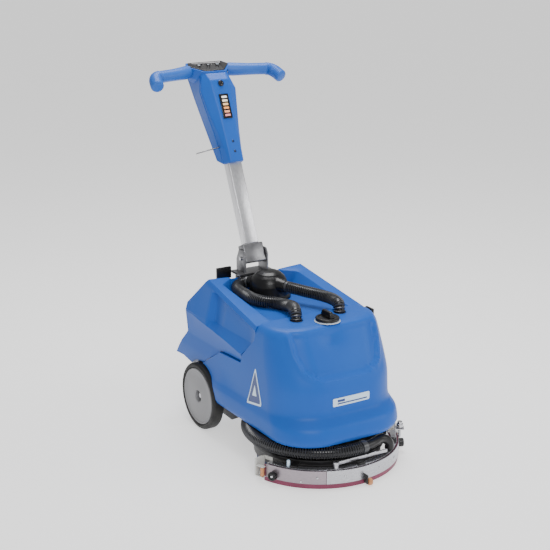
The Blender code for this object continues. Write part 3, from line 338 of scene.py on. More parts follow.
# ---- Chassis ---------------------------------------------------------------------------
# Welded steel plate with a black powder coat: bottom plate, axle cheeks, the rails that the
# hood sits on, and the channel that stands up at the back under the handle's bracket.
coat_black = finish("coat_black", (0.006, 0.006, 0.007), (0.010, 0.010, 0.011), 0.40,
                    grain=260, strength=0.35, shine=0.35, dusty=0.06)


def dressed(node, name, body, material, slot, width, segments=2, angle=32):
    """A CAD node's own shape with its loose triangles joined and its edges rounded."""
    mesh = nodes[node].data.copy()
    piece = bpy.data.objects.new(name, mesh)
    bpy.context.scene.collection.objects.link(piece)
    shape = bmesh.new()
    shape.from_mesh(mesh)
    bmesh.ops.remove_doubles(shape, verts=shape.verts, dist=2e-6)
    bmesh.ops.dissolve_limit(shape, angle_limit=radians(0.6), verts=shape.verts,
                             edges=shape.edges)
    shape.to_mesh(mesh)
    shape.free()
    rounded(piece, width, segments, angle)
    return wear(piece, material, body, slot, node)


dressed("chassis_frame", "chassis_plate", "chassis", coat_black, "black_steel", 0.0012)
dressed("rear_upright", "upright_channel", "chassis", coat_black, "black_steel", 0.0012)

# ---- Hood ------------------------------------------------------------------------------
# The clean water tank is one rotomoulded polyethylene hood. It flares out to a skirt over the
# brush deck, and its front carries a shallow bib with a soft lip round it.
tank_blue = finish("tank_blue", (0.012, 0.088, 0.40), (0.015, 0.100, 0.43), 0.38, uneven=0.10,
                   blotch=5, grain=900, depth=0.0003, strength=0.16, shine=0.14)
hood_levels = [
    (0.1062, 0.1800, -0.3770, 0.106), (0.1085, 0.1835, -0.3810, 0.109),
    (0.115, 0.1870, -0.3845, 0.111), (0.124, 0.189, -0.386, 0.112),
    (0.150, 0.188, -0.379, 0.112), (0.164, 0.1845, -0.366, 0.112),
    (0.176, 0.1812, -0.3555, 0.112), (0.190, 0.1802, -0.3515, 0.112),
    (0.210, 0.180, -0.350, 0.112), (0.250, 0.180, -0.345, 0.110),
    (0.290, 0.179, -0.329, 0.106), (0.330, 0.176, -0.311, 0.100),
    (0.365, 0.171, -0.296, 0.092), (0.380, 0.1665, -0.287, 0.086),
    (0.3895, 0.1590, -0.277, 0.079), (0.3940, 0.1470, -0.265, 0.070),
]
hood_rear = 0.139


def between(values, count):
    """A smooth run through rows of numbers, count steps from each to the next."""
    rows = [Vector(row) for row in values]
    ends = [2 * rows[0] - rows[1], *rows, 2 * rows[-1] - rows[-2]]
    fine = []
    for a, b, c, d in zip(ends, ends[1:], ends[2:], ends[3:]):
        for at in range(count):
            t = at / count
            fine.append(0.5 * (2 * b + (c - a) * t + (2 * a - 5 * b + 4 * c - d) * t * t
                               + (3 * b - a - 3 * c + d) * t**3))
    return [*fine, rows[-1]]


def ease(value, low, high):
    """0 below low, 1 above high, and smooth between."""
    t = min(max((value - low) / (high - low), 0), 1)
    return t * t * (3 - 2 * t)


def crown(x):
    """How far the hood's front bows out at this place across it."""
    return 0.0035 * (1 - min(abs(x) / 0.12, 1) ** 2)


def hood_ring(z, half, front, corner):
    """The hood's level outline from its left rear edge round the front to its right."""
    ring = []
    side, bend, flat = 30, 36, 26
    for at in range(side):
        ring.append((half, hood_rear + (front + corner - hood_rear) * at / side))
    for at in range(bend):
        angle = at / bend * pi / 2
        ring.append((half - corner + corner * cos(angle), front + corner - corner * sin(angle)))
    for at in range(flat):
        ring.append((half - corner - 2 * (half - corner) * at / flat, front))
    for at in range(bend):
        angle = (1 - at / bend) * pi / 2
        ring.append((-half + corner - corner * cos(angle), front + corner - corner * sin(angle)))
    for at in range(side + 1):
        ring.append((-half, front + corner + (hood_rear - front - corner) * at / side))
    points = []
    for x, y in ring:
        forward = ease(-y, 0.13, 0.26)
        y -= crown(x) * ease(-y, 0.16, 0.30)
        width = 0.117 + 0.013 * ease(z, 0.297, 0.345)
        turned_in = min(max((abs(x) - half + corner) / corner, 0), 1)
        sill = 0.2700 + 8.0 * max(abs(x) - 0.060, 0) ** 2
        inside = min(width - abs(x), z - sill)
        fade = forward * (1 - 0.85 * ease(z, 0.372, 0.392))
        sunk = (0.0085 * ease(inside, 0.0, 0.0065)
                - 0.0028 * exp(-((inside + 0.005) / 0.006) ** 2)) * fade
        sunk += 0.0075 * exp(-((x + 0.012) / 0.027) ** 2 - ((z - 0.364) / 0.017) ** 2) * forward
        x -= sunk * turned_in if x > 0 else -sunk * turned_in
        sunk *= (1 - turned_in**2) ** 0.5
        bulge = 0.0045 * exp(-((y - 0.005) / 0.050) ** 2 - ((z - 0.168) / 0.032) ** 2)
        x += bulge if x > 0 else -bulge
        points.append((x, y + sunk, z - sunk * 0.25))
    return points


seam = [(-0.171, 0.396), (-0.163, 0.347), (-0.106, 0.290), (-0.103, 0.269), (0.012, 0.262),
        (0.129, 0.189)]
levels = between(hood_levels, 5)
rings = [hood_ring(*level) for level in levels]
top_ring = rings[-1]
middle = Vector((0, -0.10, 0.3945))
for share in (0.06, 0.14, 0.30, 0.60):
    rings.append([
        (x * (1 - share), y + (middle.y - y) * share * (1 if y < -0.10 else 0),
         z + 0.0006 * ease(share, 0, 0.3)) for x, y, z in top_ring])
hood = solid("tank_hood", rings, 40)


def prism(name, outline, left, right):
    """A side outline of (y, z) points drawn out along x."""
    return solid(name, [[(x, y, z) for y, z in outline] for x in (left, right)])


def wheel_arches():
    """The round spaces over the two wheels, to be cut from a moulding."""
    profile = [(0, 0.153), (0.1020, 0.153), (0.1020, 0.26), (0, 0.26)]
    return [turned("arch", profile, 96, hub, (0, sign * pi / 2, 0)) for sign in (1, -1)]


def shifted(outline, gap):
    """An open outline of (y, z) points moved sideways by a gap."""
    moved = []
    for at, point in enumerate(outline):
        along = Vector(outline[min(at + 1, len(outline) - 1)]) - Vector(outline[max(at - 1, 0)])
        along.normalize()
        moved.append((point[0] + along.y * gap, point[1] - along.x * gap))
    return moved


edge = shifted(seam, 0.0026)
above = prism("above", [(edge[0][0], 0.45), *edge, (edge[-1][0] + 0.03, edge[-1][1] - 0.02),
                        (0.20, edge[-1][1] - 0.02), (0.20, 0.45)], -0.3, 0.3)
bay = solid("bay", [
    [(x * 0.966, y + 0.006 if y < 0.1 else 0.3, z) for x, y, z in hood_ring(*level)]
    for level in ((0.09, 0.180, -0.378, 0.107), (0.122, 0.187, -0.384, 0.112),
                  (0.150, 0.186, -0.377, 0.112), (0.176, 0.180, -0.354, 0.112),
                  (0.212, 0.179, -0.349, 0.112))])
space = prism("space", [(-0.097, 0.20), (-0.097, 0.45), (0.3, 0.45), (0.3, 0.20)], -0.150, 0.150)
cap_place = (0, -0.248, 0)
neck = turned("neck", [(0, 0.42), (0.024, 0.42), (0.024, 0.36), (0, 0.36)], 48, cap_place)
ports = [turned("port", [(0, 0.42), (0.0172, 0.42), (0.0172, 0.30), (0, 0.30)], 40, (x, -0.204, 0))
         for x in (0.068, -0.068)]
combine(hood, above, *wheel_arches(), bay, space, neck, *ports)
smoothed(hood, 38)
wear(hood, tank_blue, "chassis", "blue_plastic", "main_tank")

# ---- Recovery tank ---------------------------------------------------------------------
# The dirty water tank behind the hood is moulded in the same blue. Its rim slopes up to two
# rear corners, each side has a finger scoop under the rim, and a tail covers each wheel.


def rim_height(y):
    return 0.385 + 0.171 * (y + 0.172)


def belt_height(y):
    """The widest line along the tank's side."""
    marks = [(-0.20, 0.280), (-0.108, 0.291), (-0.010, 0.305), (0.121, 0.319), (0.165, 0.326),
             (0.30, 0.328)]
    for (a, low), (b, high) in zip(marks, marks[1:]):
        if y <= b:
            return low + (high - low) * (y - a) / (b - a)
    return marks[-1][1]


def tank_section(y):
    """The half outline across the recovery tank at one place along it."""
    crest_x = 0.168 - 0.058 * (y + 0.172)
    crest = rim_height(y)
    belt = belt_height(y)
    band = 0.391 + 0.1284 * (y + 0.172)
    edge_x = 0.124 - 0.042 * ease(y, 0.085, 0.125)
    foot_x = min(0.0985, edge_x - 0.010)
    floor_z = 0.382 + (band - 0.0085 - 0.382) * ease(y, 0.1225, 0.1285)
    ledge = max(0.330, belt + 0.006)
    deep = ease(0.090 - y, 0, 0.024) * (0.0100 + 0.0080 * ease(y, 0, 0.070))
    deep *= ease(y + 0.190, 0, 0.06)

    def wall(z):
        return 0.181 + (crest_x + 0.003 - 0.181) * (z - belt) / (crest - belt)

    return [
        (0.171, 0.150), (0.1770, 0.205), (0.1775, 0.228), (0.1725, 0.256), (0.1728, 0.264),
        (0.1800, belt - 0.003), (0.1808, belt), (0.1800, belt + 0.002),
        (wall(ledge) - deep + 0.001, ledge - 0.001), (wall(ledge) - deep, ledge + 0.002),
        (wall(crest - 0.020) - deep * 0.8, crest - 0.021), (wall(crest - 0.013), crest - 0.012),
        (crest_x + 0.0020, crest - 0.004), (crest_x, crest), (crest_x - 0.004, crest + 0.0003),
        (edge_x + 0.004, band + 0.0003), (edge_x, band - 0.0010), (edge_x - 0.0020, band - 0.0035),
        (foot_x + 0.0055, floor_z + 0.0045), (foot_x + 0.0025, floor_z + 0.0008),
        (foot_x, floor_z),
    ]


cuts = [-0.200 + 0.0055 * at for at in range(92)]
rings = []
for y in cuts:
    half = tank_section(y)
    rings.append([(x, y, z) for x, z in half] + [(-x, y, z) for x, z in reversed(half)])
recovery = solid("recovery_shell", rings, 24)
tail = [(seam[0][0], 0.52), *seam, (0.174, 0.171), (0.237, 0.182), (0.281, 0.179),
        (0.209, 0.265), (0.205, 0.351), (0.120, 0.436), (0.036, 0.52)]
outline = prism("outline", tail, -0.3, 0.3)
combine(recovery, outline, how="INTERSECT")
bpy.ops.object.select_all(action="DESELECT")
bpy.ops.mesh.primitive_cube_add(size=1, location=(0, 0.2385, 0.30))
notch = bpy.context.active_object
notch.scale = (0.093, 0.224, 0.42)
dome_place = (0, 0.048, 0)
mouth = turned("mouth", [(0, 0.40), (0.046, 0.40), (0.046, 0.35), (0, 0.35)], 48, dome_place)
combine(recovery, *wheel_arches(), notch, mouth)
smoothed(recovery, 24)
wear(recovery, tank_blue, "chassis", "blue_plastic", "recovery_tank")
black_satin = finish("black_satin", (0.0045, 0.0045, 0.0055), (0.008, 0.008, 0.009), 0.30,
                     grain=800, strength=0.15, shine=0.35)
dressed("tank_latch", "latch", "tank_latch_body", black_satin, "black_plastic", 0.0008)

# ---- Filler cap ------------------------------------------------------------------------
# A black screw cap with a wedge-shaped grip bar. It screws onto the neck in the hood's top, and
# closes down on a sealing ring whose pale colour is a painted highlight.
# Painted highlight: the neck ring is coloured pale for the bright rim it shows round the cap.
neck_ring_highlight = finish("neck_ring_highlight", (0.56, 0.62, 0.68), (0.50, 0.56, 0.63), 0.4)
ring = turned("neck_ring", fillet([(0.0246, 0.3971), (0.0330, 0.3971), (0.0350, 0.3945),
                                   (0.0246, 0.3945)], 0.0008), 64, cap_place)
wear(ring, neck_ring_highlight, "chassis", "pale_plastic", "fill_neck_ring")
cap = turned("cap", fillet([(0, 0.4040), (0.0225, 0.4040), (0.0245, 0.4062), (0.0300, 0.4058),
                            (0.0322, 0.4035), (0.0322, 0.3986), (0.0215, 0.3986),
                            (0.0215, 0.384), (0, 0.384)], 0.001, 3), 72, cap_place)
bar = solid("cap_grip", [
    [(x, cap_place[1] + y, z) for x, y in ((half, front), (half, back), (-half, back), (-half, front))]
    for z, half, front, back in ((0.403, 0.0065, -0.0225, 0.0225), (0.412, 0.0065, -0.0225, 0.0225),
                                 (0.4222, 0.0042, -0.0175, 0.0195))])
rounded(bar, 0.0022, 3)
combine(cap, bar, how="UNION")
wear(cap, black_satin, "fill_cap_body", "black_plastic", "fill_cap")

# ---- Suction dome and its hoses ---------------------------------------------------------
# A black moulded dome over the recovery tank's mouth. Two corrugated hoses run from its stubs
# to the ports in the hood, each with a plain moulded cuff at both ends.
dome = turned("dome", fillet([
    (0, 0.4588), (0.012, 0.4583), (0.024, 0.4560), (0.0345, 0.4505), (0.0365, 0.4480),
    (0.0440, 0.4420), (0.0500, 0.4320), (0.0535, 0.4190), (0.0550, 0.3920), (0.0605, 0.3895),
    (0.0620, 0.3870), (0.0620, 0.3825), (0, 0.3825)], 0.0015, 2), 72, dome_place)
for start, end in (((0.004, 0.014, 0.424), (0.0165, -0.0165, 0.4235)),
                   ((-0.018, 0.072, 0.421), (-0.0370, 0.0955, 0.4170))):
    start, end = Vector(start), Vector(end)
    aim = (end - start).to_track_quat("Z", "Y").to_euler()
    long = (end - start).length
    stub = turned("stub", fillet([(0, long - 0.0003), (0.0160, long - 0.0003),
                                  (0.0172, long - 0.004), (0.0215, 0), (0, 0)], 0.0008),
                  40, start, aim)
    combine(dome, stub, how="UNION")
smoothed(dome, 32)
wear(dome, black_satin, "chassis", "black_plastic", "vacuum_dome")
hose_black = finish("hose_black", (0.002, 0.002, 0.003), (0.003, 0.003, 0.004), 0.22,
                    blotch=40, grain=500, strength=0.1, shine=0.4)
# Painted highlight: the rib crests and end cuffs are the hose's black rubber, coloured a lighter grey
# for the light they catch.
rib_crest_highlight = finish("rib_crest_highlight", (0.030, 0.031, 0.035), (0.040, 0.041, 0.046), 0.30, blotch=40,
                  grain=500, strength=0.1, shine=0.6)


def swept(name, points, radii, sides=10):
    """A round tube through these points, with a radius at each."""
    curve = bpy.data.curves.new(name, "CURVE")
    curve.dimensions = "3D"
    curve.bevel_depth = 1.0
    curve.bevel_resolution = sides
    curve.use_fill_caps = True
    line = curve.splines.new("POLY")
    line.points.add(len(points) - 1)
    for place, point, radius in zip(line.points, points, radii):
        place.co = (*point, 1)
        place.radius = radius
    piece = bpy.data.objects.new(name, curve)
    bpy.context.scene.collection.objects.link(piece)
    only(piece)
    bpy.ops.object.convert(target="MESH")
    piece = bpy.context.active_object
    bpy.ops.object.mode_set(mode="EDIT")
    bpy.ops.mesh.select_all(action="SELECT")
    bpy.ops.mesh.remove_doubles(threshold=1e-7)
    bpy.ops.mesh.normals_make_consistent(inside=False)
    bpy.ops.object.mode_set(mode="OBJECT")
    return smoothed(piece, 50)


def evenly(route, step):
    """Points a step apart along the smooth curve through the route."""
    fine = between(route, 24)
    points, left = [fine[0]], step
    for a, b in zip(fine, fine[1:]):
        long = (b - a).length
        while long >= left:
            a = a + (b - a) * (left / long)
            points.append(a)
            long -= left
            left = step
        left -= long
    return points


def corrugated(name, route, radius, pitch=0.0058, cuff=0.008):
    """A hose as two tubes on one line: a dark body, and the crests of its ribs with a plain
    cuff at each end."""
    step = pitch / 6
    points = evenly(route, step)
    total = step * (len(points) - 1)
    core, crests = [], []
    for at in range(len(points)):
        along = step * at
        rib = 0.5 + 0.5 * cos(2 * pi * along / pitch)
        end = min(along, total - along)
        core.append(radius * 0.84)
        if end < cuff:
            crests.append(radius * (0.985 if end > 0.0018 else 0.95))
        else:
            crests.append(radius * (0.70 + 0.30 * rib**1.2))
    return swept(name, points, core, 8), swept(f"{name}_ribs", points, crests)


left_route = [
    (0.0169, -0.0177, 0.4235), (0.0195, -0.0240, 0.4234), (0.030, -0.047, 0.4225),
    (0.046, -0.077, 0.420), (0.062, -0.106, 0.418), (0.073, -0.137, 0.417),
    (0.0765, -0.160, 0.4165), (0.0750, -0.1835, 0.4145), (0.0720, -0.1940, 0.4117),
    (0.0692, -0.2015, 0.4045), (0.068, -0.204, 0.3945), (0.068, -0.204, 0.383),
]
right_route = [
    (-0.0377, 0.0964, 0.4168), (-0.0405, 0.0995, 0.4163), (-0.0493, 0.1050, 0.4145),
    (-0.0622, 0.1049, 0.4115), (-0.0735, 0.0970, 0.4075), (-0.0780, 0.0820, 0.4040),
    (-0.0785, 0.046, 0.4005), (-0.079, 0.004, 0.4000), (-0.067, -0.034, 0.4000),
    (-0.046, -0.060, 0.4000), (-0.035, -0.090, 0.4010), (-0.035, -0.123, 0.4060),
    (-0.046, -0.154, 0.4125), (-0.0575, -0.1800, 0.4135), (-0.0630, -0.1915, 0.4115),
    (-0.0668, -0.2008, 0.4045), (-0.068, -0.204, 0.3945), (-0.068, -0.204, 0.383),
]
for side, route in (("left", left_route), ("right", right_route)):
    hose, ribs = corrugated(f"dome_hose_{side}", route, 0.0165)
    wear(hose, hose_black, "chassis", "black_rubber", f"vacuum_hose_{side}")
    wear(ribs, rib_crest_highlight, "chassis", "black_rubber")

# ---- Drive -----------------------------------------------------------------------------
# Under the hood: sealed batteries, a suction motor and the brush's gear motor. Below them the
# black round deck covers the disc brush, which is a blue plate set with nylon tufts.
battery_case = finish("battery_case", (0.07, 0.07, 0.075), (0.10, 0.10, 0.105), 0.5)
keep(battery_case, "battery_pack")
keep(black_satin, "vacuum_motor", "suction_elbow")
deck_place = (0, -0.205, 0)
deck = turned("deck_cover", fillet([
    (0.014, 0.0798), (0.158, 0.0798), (0.1700, 0.0740), (0.1724, 0.0680), (0.1724, 0.0522),
    (0.1762, 0.0512), (0.1762, 0.0475), (0.1724, 0.0440), (0.1724, 0.0222), (0.1686, 0.0222),
    (0.1686, 0.070), (0.158, 0.076), (0.014, 0.076)], 0.0014, 3), 128, deck_place)
wear(deck, coat_black, "chassis", "black_plastic", "deck_housing")
brush_blue = finish("brush_blue", (0.03, 0.09, 0.30), (0.035, 0.10, 0.33), 0.45)
plate = turned("brush_plate", fillet([(0, 0.0476), (0.155, 0.0476), (0.1588, 0.0455),
                                      (0.1588, 0.0384), (0, 0.0384)], 0.001), 96, deck_place)
wear(plate, brush_blue, "brush", "blue_plastic", "brush_disc")
nylon = finish("nylon", (0.035, 0.06, 0.16), (0.02, 0.035, 0.10), 0.6, blotch=120, grain=900,
               strength=0.5, brushed=(1, 1, 0.06))
tufts = bmesh.new()
for ring, count in ((0.074, 44), (0.090, 52), (0.107, 62), (0.124, 72), (0.141, 82), (0.156, 90)):
    for at in range(count):
        angle = 2 * pi * (at + 0.5 * (ring * 1000 % 2)) / count
        out = 1 + 0.03 * (ring - 0.1) / 0.06
        spot = Matrix.Translation((ring * out * cos(angle),
                                   deck_place[1] + ring * out * sin(angle), 0.0195))
        bmesh.ops.create_cone(tufts, cap_ends=True, segments=7, radius1=0.0046, radius2=0.0034,
                              depth=0.0385, matrix=spot)
wear(as_piece("brush_tufts", tufts), nylon, "brush", "bristle", "brush_bristles")

# ---- Squeegee --------------------------------------------------------------------------
# A curved aluminium rail holds two rubber blades between clamping straps. It hangs from a steel
# ring round the deck, and rolls along walls on orange polyurethane rollers.
bright_band = finish("bright_band", (0.52, 0.52, 0.55), (0.40, 0.40, 0.43), 0.28, metal=0.9,
                     blotch=14, grain=90, brushed=(8, 8, 60), strength=0.15)
# A darker, pinkish copy of the bright band, used on the right outer strap alone.
dim_pink_band = finish("dim_pink_band", (0.36, 0.31, 0.34), (0.30, 0.26, 0.29), 0.34, metal=0.6,
                   blotch=14, grain=90, brushed=(8, 8, 60), strength=0.15)
blade_rubber = finish("blade_rubber", (0.165, 0.018, 0.055), (0.20, 0.025, 0.07), 0.42,
                      blotch=18, grain=300, strength=0.2)
end_plate = finish("end_plate", (0.60, 0.60, 0.57), (0.53, 0.53, 0.50), 0.42, grain=300)
orange_roll = finish("orange_roll", (0.56, 0.25, 0.10), (0.46, 0.19, 0.08), 0.45)


def polar(radius, degrees, z=0.0):
    """A point beside the deck's axis, at an angle from straight ahead."""
    angle = radians(degrees)
    return Vector((radius * sin(angle), deck_place[1] - radius * cos(angle), z))


def band(name, section, start, end, width=0.0005, step=1.5):
    """A section of (radius, z) points swept round the deck between two angles."""
    count = max(2, round((end - start) / step))
    rings = [[polar(radius, start + (end - start) * at / count, z) for radius, z in section]
             for at in range(count + 1)]
    return rounded(solid(name, rings), width, 2, 40)


def flat(low, high, bottom, top):
    """An upright strip's section, between two radii and two heights."""
    return [(low, bottom), (high, bottom), (high, top), (low, top)]


rail = band("rail", [(0.1995, 0.016), (0.2025, 0.016), (0.2025, 0.047), (0.2125, 0.047),
                     (0.2125, 0.016), (0.2155, 0.016), (0.2155, 0.052), (0.1995, 0.052)], -70, 70)
wear(rail, bright_band, "squeegee", "aluminium", "squeegee_rail")
for name, section, span in (
    ("outer", [(0.2164, 0.0), (0.2188, 0.0006), (0.2188, 0.046), (0.2158, 0.046),
               (0.2158, 0.002)], 72),
    ("inner", flat(0.1962, 0.1992, 0, 0.046), 70),
):
    blade = band(f"{name}_rubber", section, -span, span, 0.0004)
    wear(blade, blade_rubber, "squeegee", "blade_red", f"{name}_blade")
for name, start, end in (("right", -70, -27.15), ("left", -26.85, 70)):
    strap = band(f"strap_{name}", flat(0.2191, 0.2213, 0.014, 0.050), start, end, 0.0006)
    wear(strap, dim_pink_band if name == "right" else bright_band, "squeegee", "aluminium",
         f"outer_strap_{name}")
strap = band("strap_inner", flat(0.1937, 0.1959, 0.016, 0.050), -70, 70, 0.0006)
wear(strap, bright_band, "squeegee", "aluminium", "inner_strap")
dressed("orbit_ring", "turning_ring", "squeegee", coat_black, "black_steel", 0.0006, 2, 40)


def outward(degrees):
    """The direction away from the deck's axis at this angle."""
    return polar(1, degrees) - polar(0, degrees)


def faced(profile, name, radius, degrees, z, steps):
    """A turned piece whose axis points away from the deck."""
    aim = outward(degrees).to_track_quat("Z", "Y").to_euler()
    return turned(name, fillet(profile, 0.0006, 3), steps, polar(radius, degrees, z), aim)


for at, (degrees, z) in enumerate(((-44, 0.019), (-33, 0.032), (-14, 0.032), (14, 0.032),
                                   (34, 0.032), (50, 0.032))):
    screw = faced([(0, 0.0017), (0.0022, 0.0017), (0.0034, 0.0006), (0.0034, 0.00), (0, 0.00)],
                  f"strap_screw_{at + 1}", 0.22135, degrees, z, 24)
    wear(screw, steel_bright, "squeegee", "steel")
strap_face = 0.2217
for side, sign in (("left", 1), ("right", -1)):
    profile = [(0, 0.0125), (0.0055, 0.0125), (0.0065, 0.0155), (0.0105, 0.0155), (0.0122, 0.0130),
               (0.0122, 0.0040), (0.0085, 0.0020), (0.0070, 0), (0, 0)]
    knob = faced(profile, f"knob_{side}", strap_face, sign * 63, 0.026, 48)
    aim = outward(sign * 63)
    across = Vector((aim.y, -aim.x, 0)).normalized()
    for at in range(6):
        angle = 2 * pi * at / 6
        spot = polar(strap_face + 0.008, sign * 63, 0.026) + across * (0.0155 * cos(angle))
        spot.z += 0.0155 * sin(angle)
        combine(knob, turned("lobe", [(0, 0.012), (0.0052, 0.012), (0.0052, -0.012), (0, -0.012)],
                             20, spot, aim.to_track_quat("Z", "Y").to_euler()))
    smoothed(knob, 35)
    wear(knob, black_satin, f"strap_knob_{side}_body", "black_plastic", f"strap_knob_{side}")
    pin = faced([(0, 0.0018), (0.0030, 0.0018), (0.0040, 0.0006), (0.0040, 0), (0, 0)],
                f"knob_pin_{side}", strap_face + 0.0128, sign * 63, 0.026, 24)
    wear(pin, steel_bright, f"strap_knob_{side}_body", "steel")
    roller = turned(f"end_roller_{side}", fillet([
        (0, 0.024), (0.0045, 0.024), (0.0056, 0.021), (0.0050, 0.012), (0.0056, 0.003),
        (0.0045, 0.0), (0, 0.0)], 0.0008), 32, polar(0.2285, sign * 71.5, 0.0165))
    wear(roller, orange_roll, f"guide_roller_{side}_body", "roller_orange", f"guide_roller_{side}")
    for at, (section, start, end) in enumerate((
        (flat(0.1995, 0.2310, 0.0125, 0.0600), 76.4, 77.8),
        (flat(0.1965, 0.1992, 0.0500, 0.0600), 69.0, 76.5),
        (flat(0.2222, 0.2330, 0.0415, 0.0437), 70.0, 76.5),
        (flat(0.2222, 0.2330, 0.0135, 0.0157), 70.0, 76.5),
    )):
        sweep = (start, end) if sign > 0 else (-end, -start)
        plate = band(f"end_plate_{side}_{at + 1}", section, *sweep)
        wear(plate, end_plate, "squeegee", "aluminium")
        if at == 0:
            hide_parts(f"roller_bracket_{side}")
front = turned("front_wheel", fillet([(0, 0.012), (0.007, 0.012), (0.010, 0.0095), (0.010, 0.0025),
                                      (0.007, 0), (0, 0)], 0.0012), 40, (0.0045, -0.4378, 0.010),
               (0, pi / 2, 0))
wear(front, orange_roll, "front_roller_body", "roller_orange", "front_roller")
dressed("front_roller_bracket", "front_bracket", "squeegee", coat_black, "black_steel", 0.0005)
dressed("swing_lever", "locking_lever", "swing_lever_body", bright_band, "aluminium", 0.0006)
dressed("adjuster_bracket", "height_bracket", "squeegee", bright_band, "aluminium", 0.0004)
screw_head = turned("height_screw", fillet([
    (0, 0.098), (0.0068, 0.098), (0.0068, 0.092), (0.0094, 0.0915), (0.0094, 0.0825),
    (0.0062, 0.0813), (0.0040, 0.0813), (0.0040, 0.0525), (0, 0.0525)], 0.0008), 32,
    polar(0.2225, 57))
wear(screw_head, steel_bright, "adjuster_screw_body", "steel", "adjuster_screw")
pipe_route = [polar(0.19, d, 0.088) for d in (8.7, 14, 20, 26)]
pipe_route += [polar(0.1945, 30, 0.086), polar(0.201, 33, 0.078), polar(0.2060, 34.5, 0.068),
               polar(0.2060, 34.5, 0.0526)]
points = evenly(pipe_route, 0.004)
pipe = swept("suction_bend", points, [0.0126] * len(points))
wear(pipe, black_satin, "squeegee", "black_plastic", "suction_pipe")
ring_route = [polar(0.19, 8 - 183 * at / 44, 0.088) for at in range(45)]
for hose, material in zip(corrugated("deck_hose", ring_route, 0.0172, 0.0066, 0.016),
                          (hose_black, rib_crest_highlight)):
    only(hose)
    hose.data.materials.append(material)
    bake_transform(hose)
    if material == hose_black:
        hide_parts("squeegee_hose")

# ---- Handle foot -----------------------------------------------------------------------
# A cast aluminium foot turns on a steel pin in a welded fork, and carries the brushed post.
# A black plastic lever locks the fold, and the release lever is a thin steel blade.
brushed_post = finish("brushed_post", (0.66, 0.66, 0.68), (0.54, 0.54, 0.56), 0.30, metal=0.85,
                      blotch=7, grain=80, brushed=(30, 30, 1.5), strength=0.12)
cast_alloy = finish("cast_alloy", (0.24, 0.24, 0.25), (0.17, 0.17, 0.18), 0.34, metal=0.9,
                    blotch=40, grain=260, strength=0.5)
dressed("hinge_bracket", "fork", "chassis", cast_alloy, "steel", 0.0014, 3)
dressed("post_foot", "cast_foot", "handle", cast_alloy, "aluminium", 0.0010, 3)
dressed("handle_post", "post", "handle", brushed_post, "aluminium", 0.0008, 3)
dressed("fold_lock_lever", "lock_bar", "fold_lock_lever_body", black_satin, "black_plastic", 0.0008)
dressed("release_lever", "release_blade", "release_lever_body", cast_alloy, "steel", 0.0004)

# ---- Console ---------------------------------------------------------------------------
# Two blue covers screwed together round the top of the post. They widen into a six-sided head,
# with a glossy black display let into it, and carry a charge display and a power button.
lean = radians(24)


def on_post(x, back, up):
    """A point in the handle's own frame: back from the post, and up it from the pivot."""
    return Vector((x, 0.135 + back * cos(lean) + up * sin(lean),
                   0.475 - back * sin(lean) + up * cos(lean)))


console_levels = [
    (0.272, 0.0205, 0.0250, 0.0308, -0.0215, 0.0305, 0.290, 0.0335),
    (0.308, 0.0200, 0.0265, 0.0315, -0.0215, 0.0345, 0.308, 0.0340),
    (0.368, 0.0205, 0.0366, 0.0385, -0.0157, 0.0486, 0.368, 0.0354),
    (0.425, 0.0220, 0.0476, 0.0475, -0.0110, 0.0618, 0.425, 0.0368),
    (0.488, 0.0270, 0.0575, 0.0560, -0.0100, 0.0758, 0.488, 0.0384),
    (0.511, 0.0290, 0.0490, 0.0485, -0.0100, 0.0900, 0.554, 0.0390),
]


def mirrored(half):
    """A ring on the post's axis from its right half of (x, back, up) points."""
    return [on_post(*point) for point in half + [(-x, b, u) for x, b, u in reversed(half)]]


console_blue = finish("console_blue", (0.011, 0.088, 0.40), (0.014, 0.098, 0.43), 0.34,
                      blotch=6, grain=1000, depth=0.0002, strength=0.18, shine=0.16)
front_face = -0.030
front_rings, rear_rings = [], []
for up, face, shoulder, side, line, back, back_up, rear in console_levels:
    front_rings.append(mirrored([(face, front_face, up), (shoulder, line, up), (side, -0.0002, up)]))
    rear_rings.append(mirrored([(side, 0.0002, up), (rear, back, back_up)]))
front_rings.append(mirrored([(0.0300, -0.0150, 0.5365), (0.0400, -0.0080, 0.5426),
                             (0.0400, -0.0002, 0.5495)]))
rear_rings.append(mirrored([(0.0400, 0.0002, 0.5480), (0.0390, 0.0500, 0.5780)]))
front_cover = rounded(solid("front_shell", front_rings), 0.0035, 4, 16)
wear(front_cover, console_blue, "handle", "blue_plastic", "console_front_cover")
rear_cover = rounded(solid("rear_shell", rear_rings), 0.0040, 4, 16)
tilt = radians(38.2)


def on_head(x, along, lift):
    """A point on the console's tilted top, lifted off it."""
    return on_post(x, -0.0125 + along * cos(tilt) - lift * sin(tilt),
                   0.5418 + along * sin(tilt) + lift * cos(tilt))


def head_ring(widen, lift):
    """The head's six-sided outline, widened and lifted off its top."""
    half = [(0.030 + widen, -widen), (0.066 + widen, 0.043), (0.054 + widen, 0.066 + widen)]
    return [on_head(x, along, lift)
            for x, along in half + [(-x, along) for x, along in reversed(half)]]


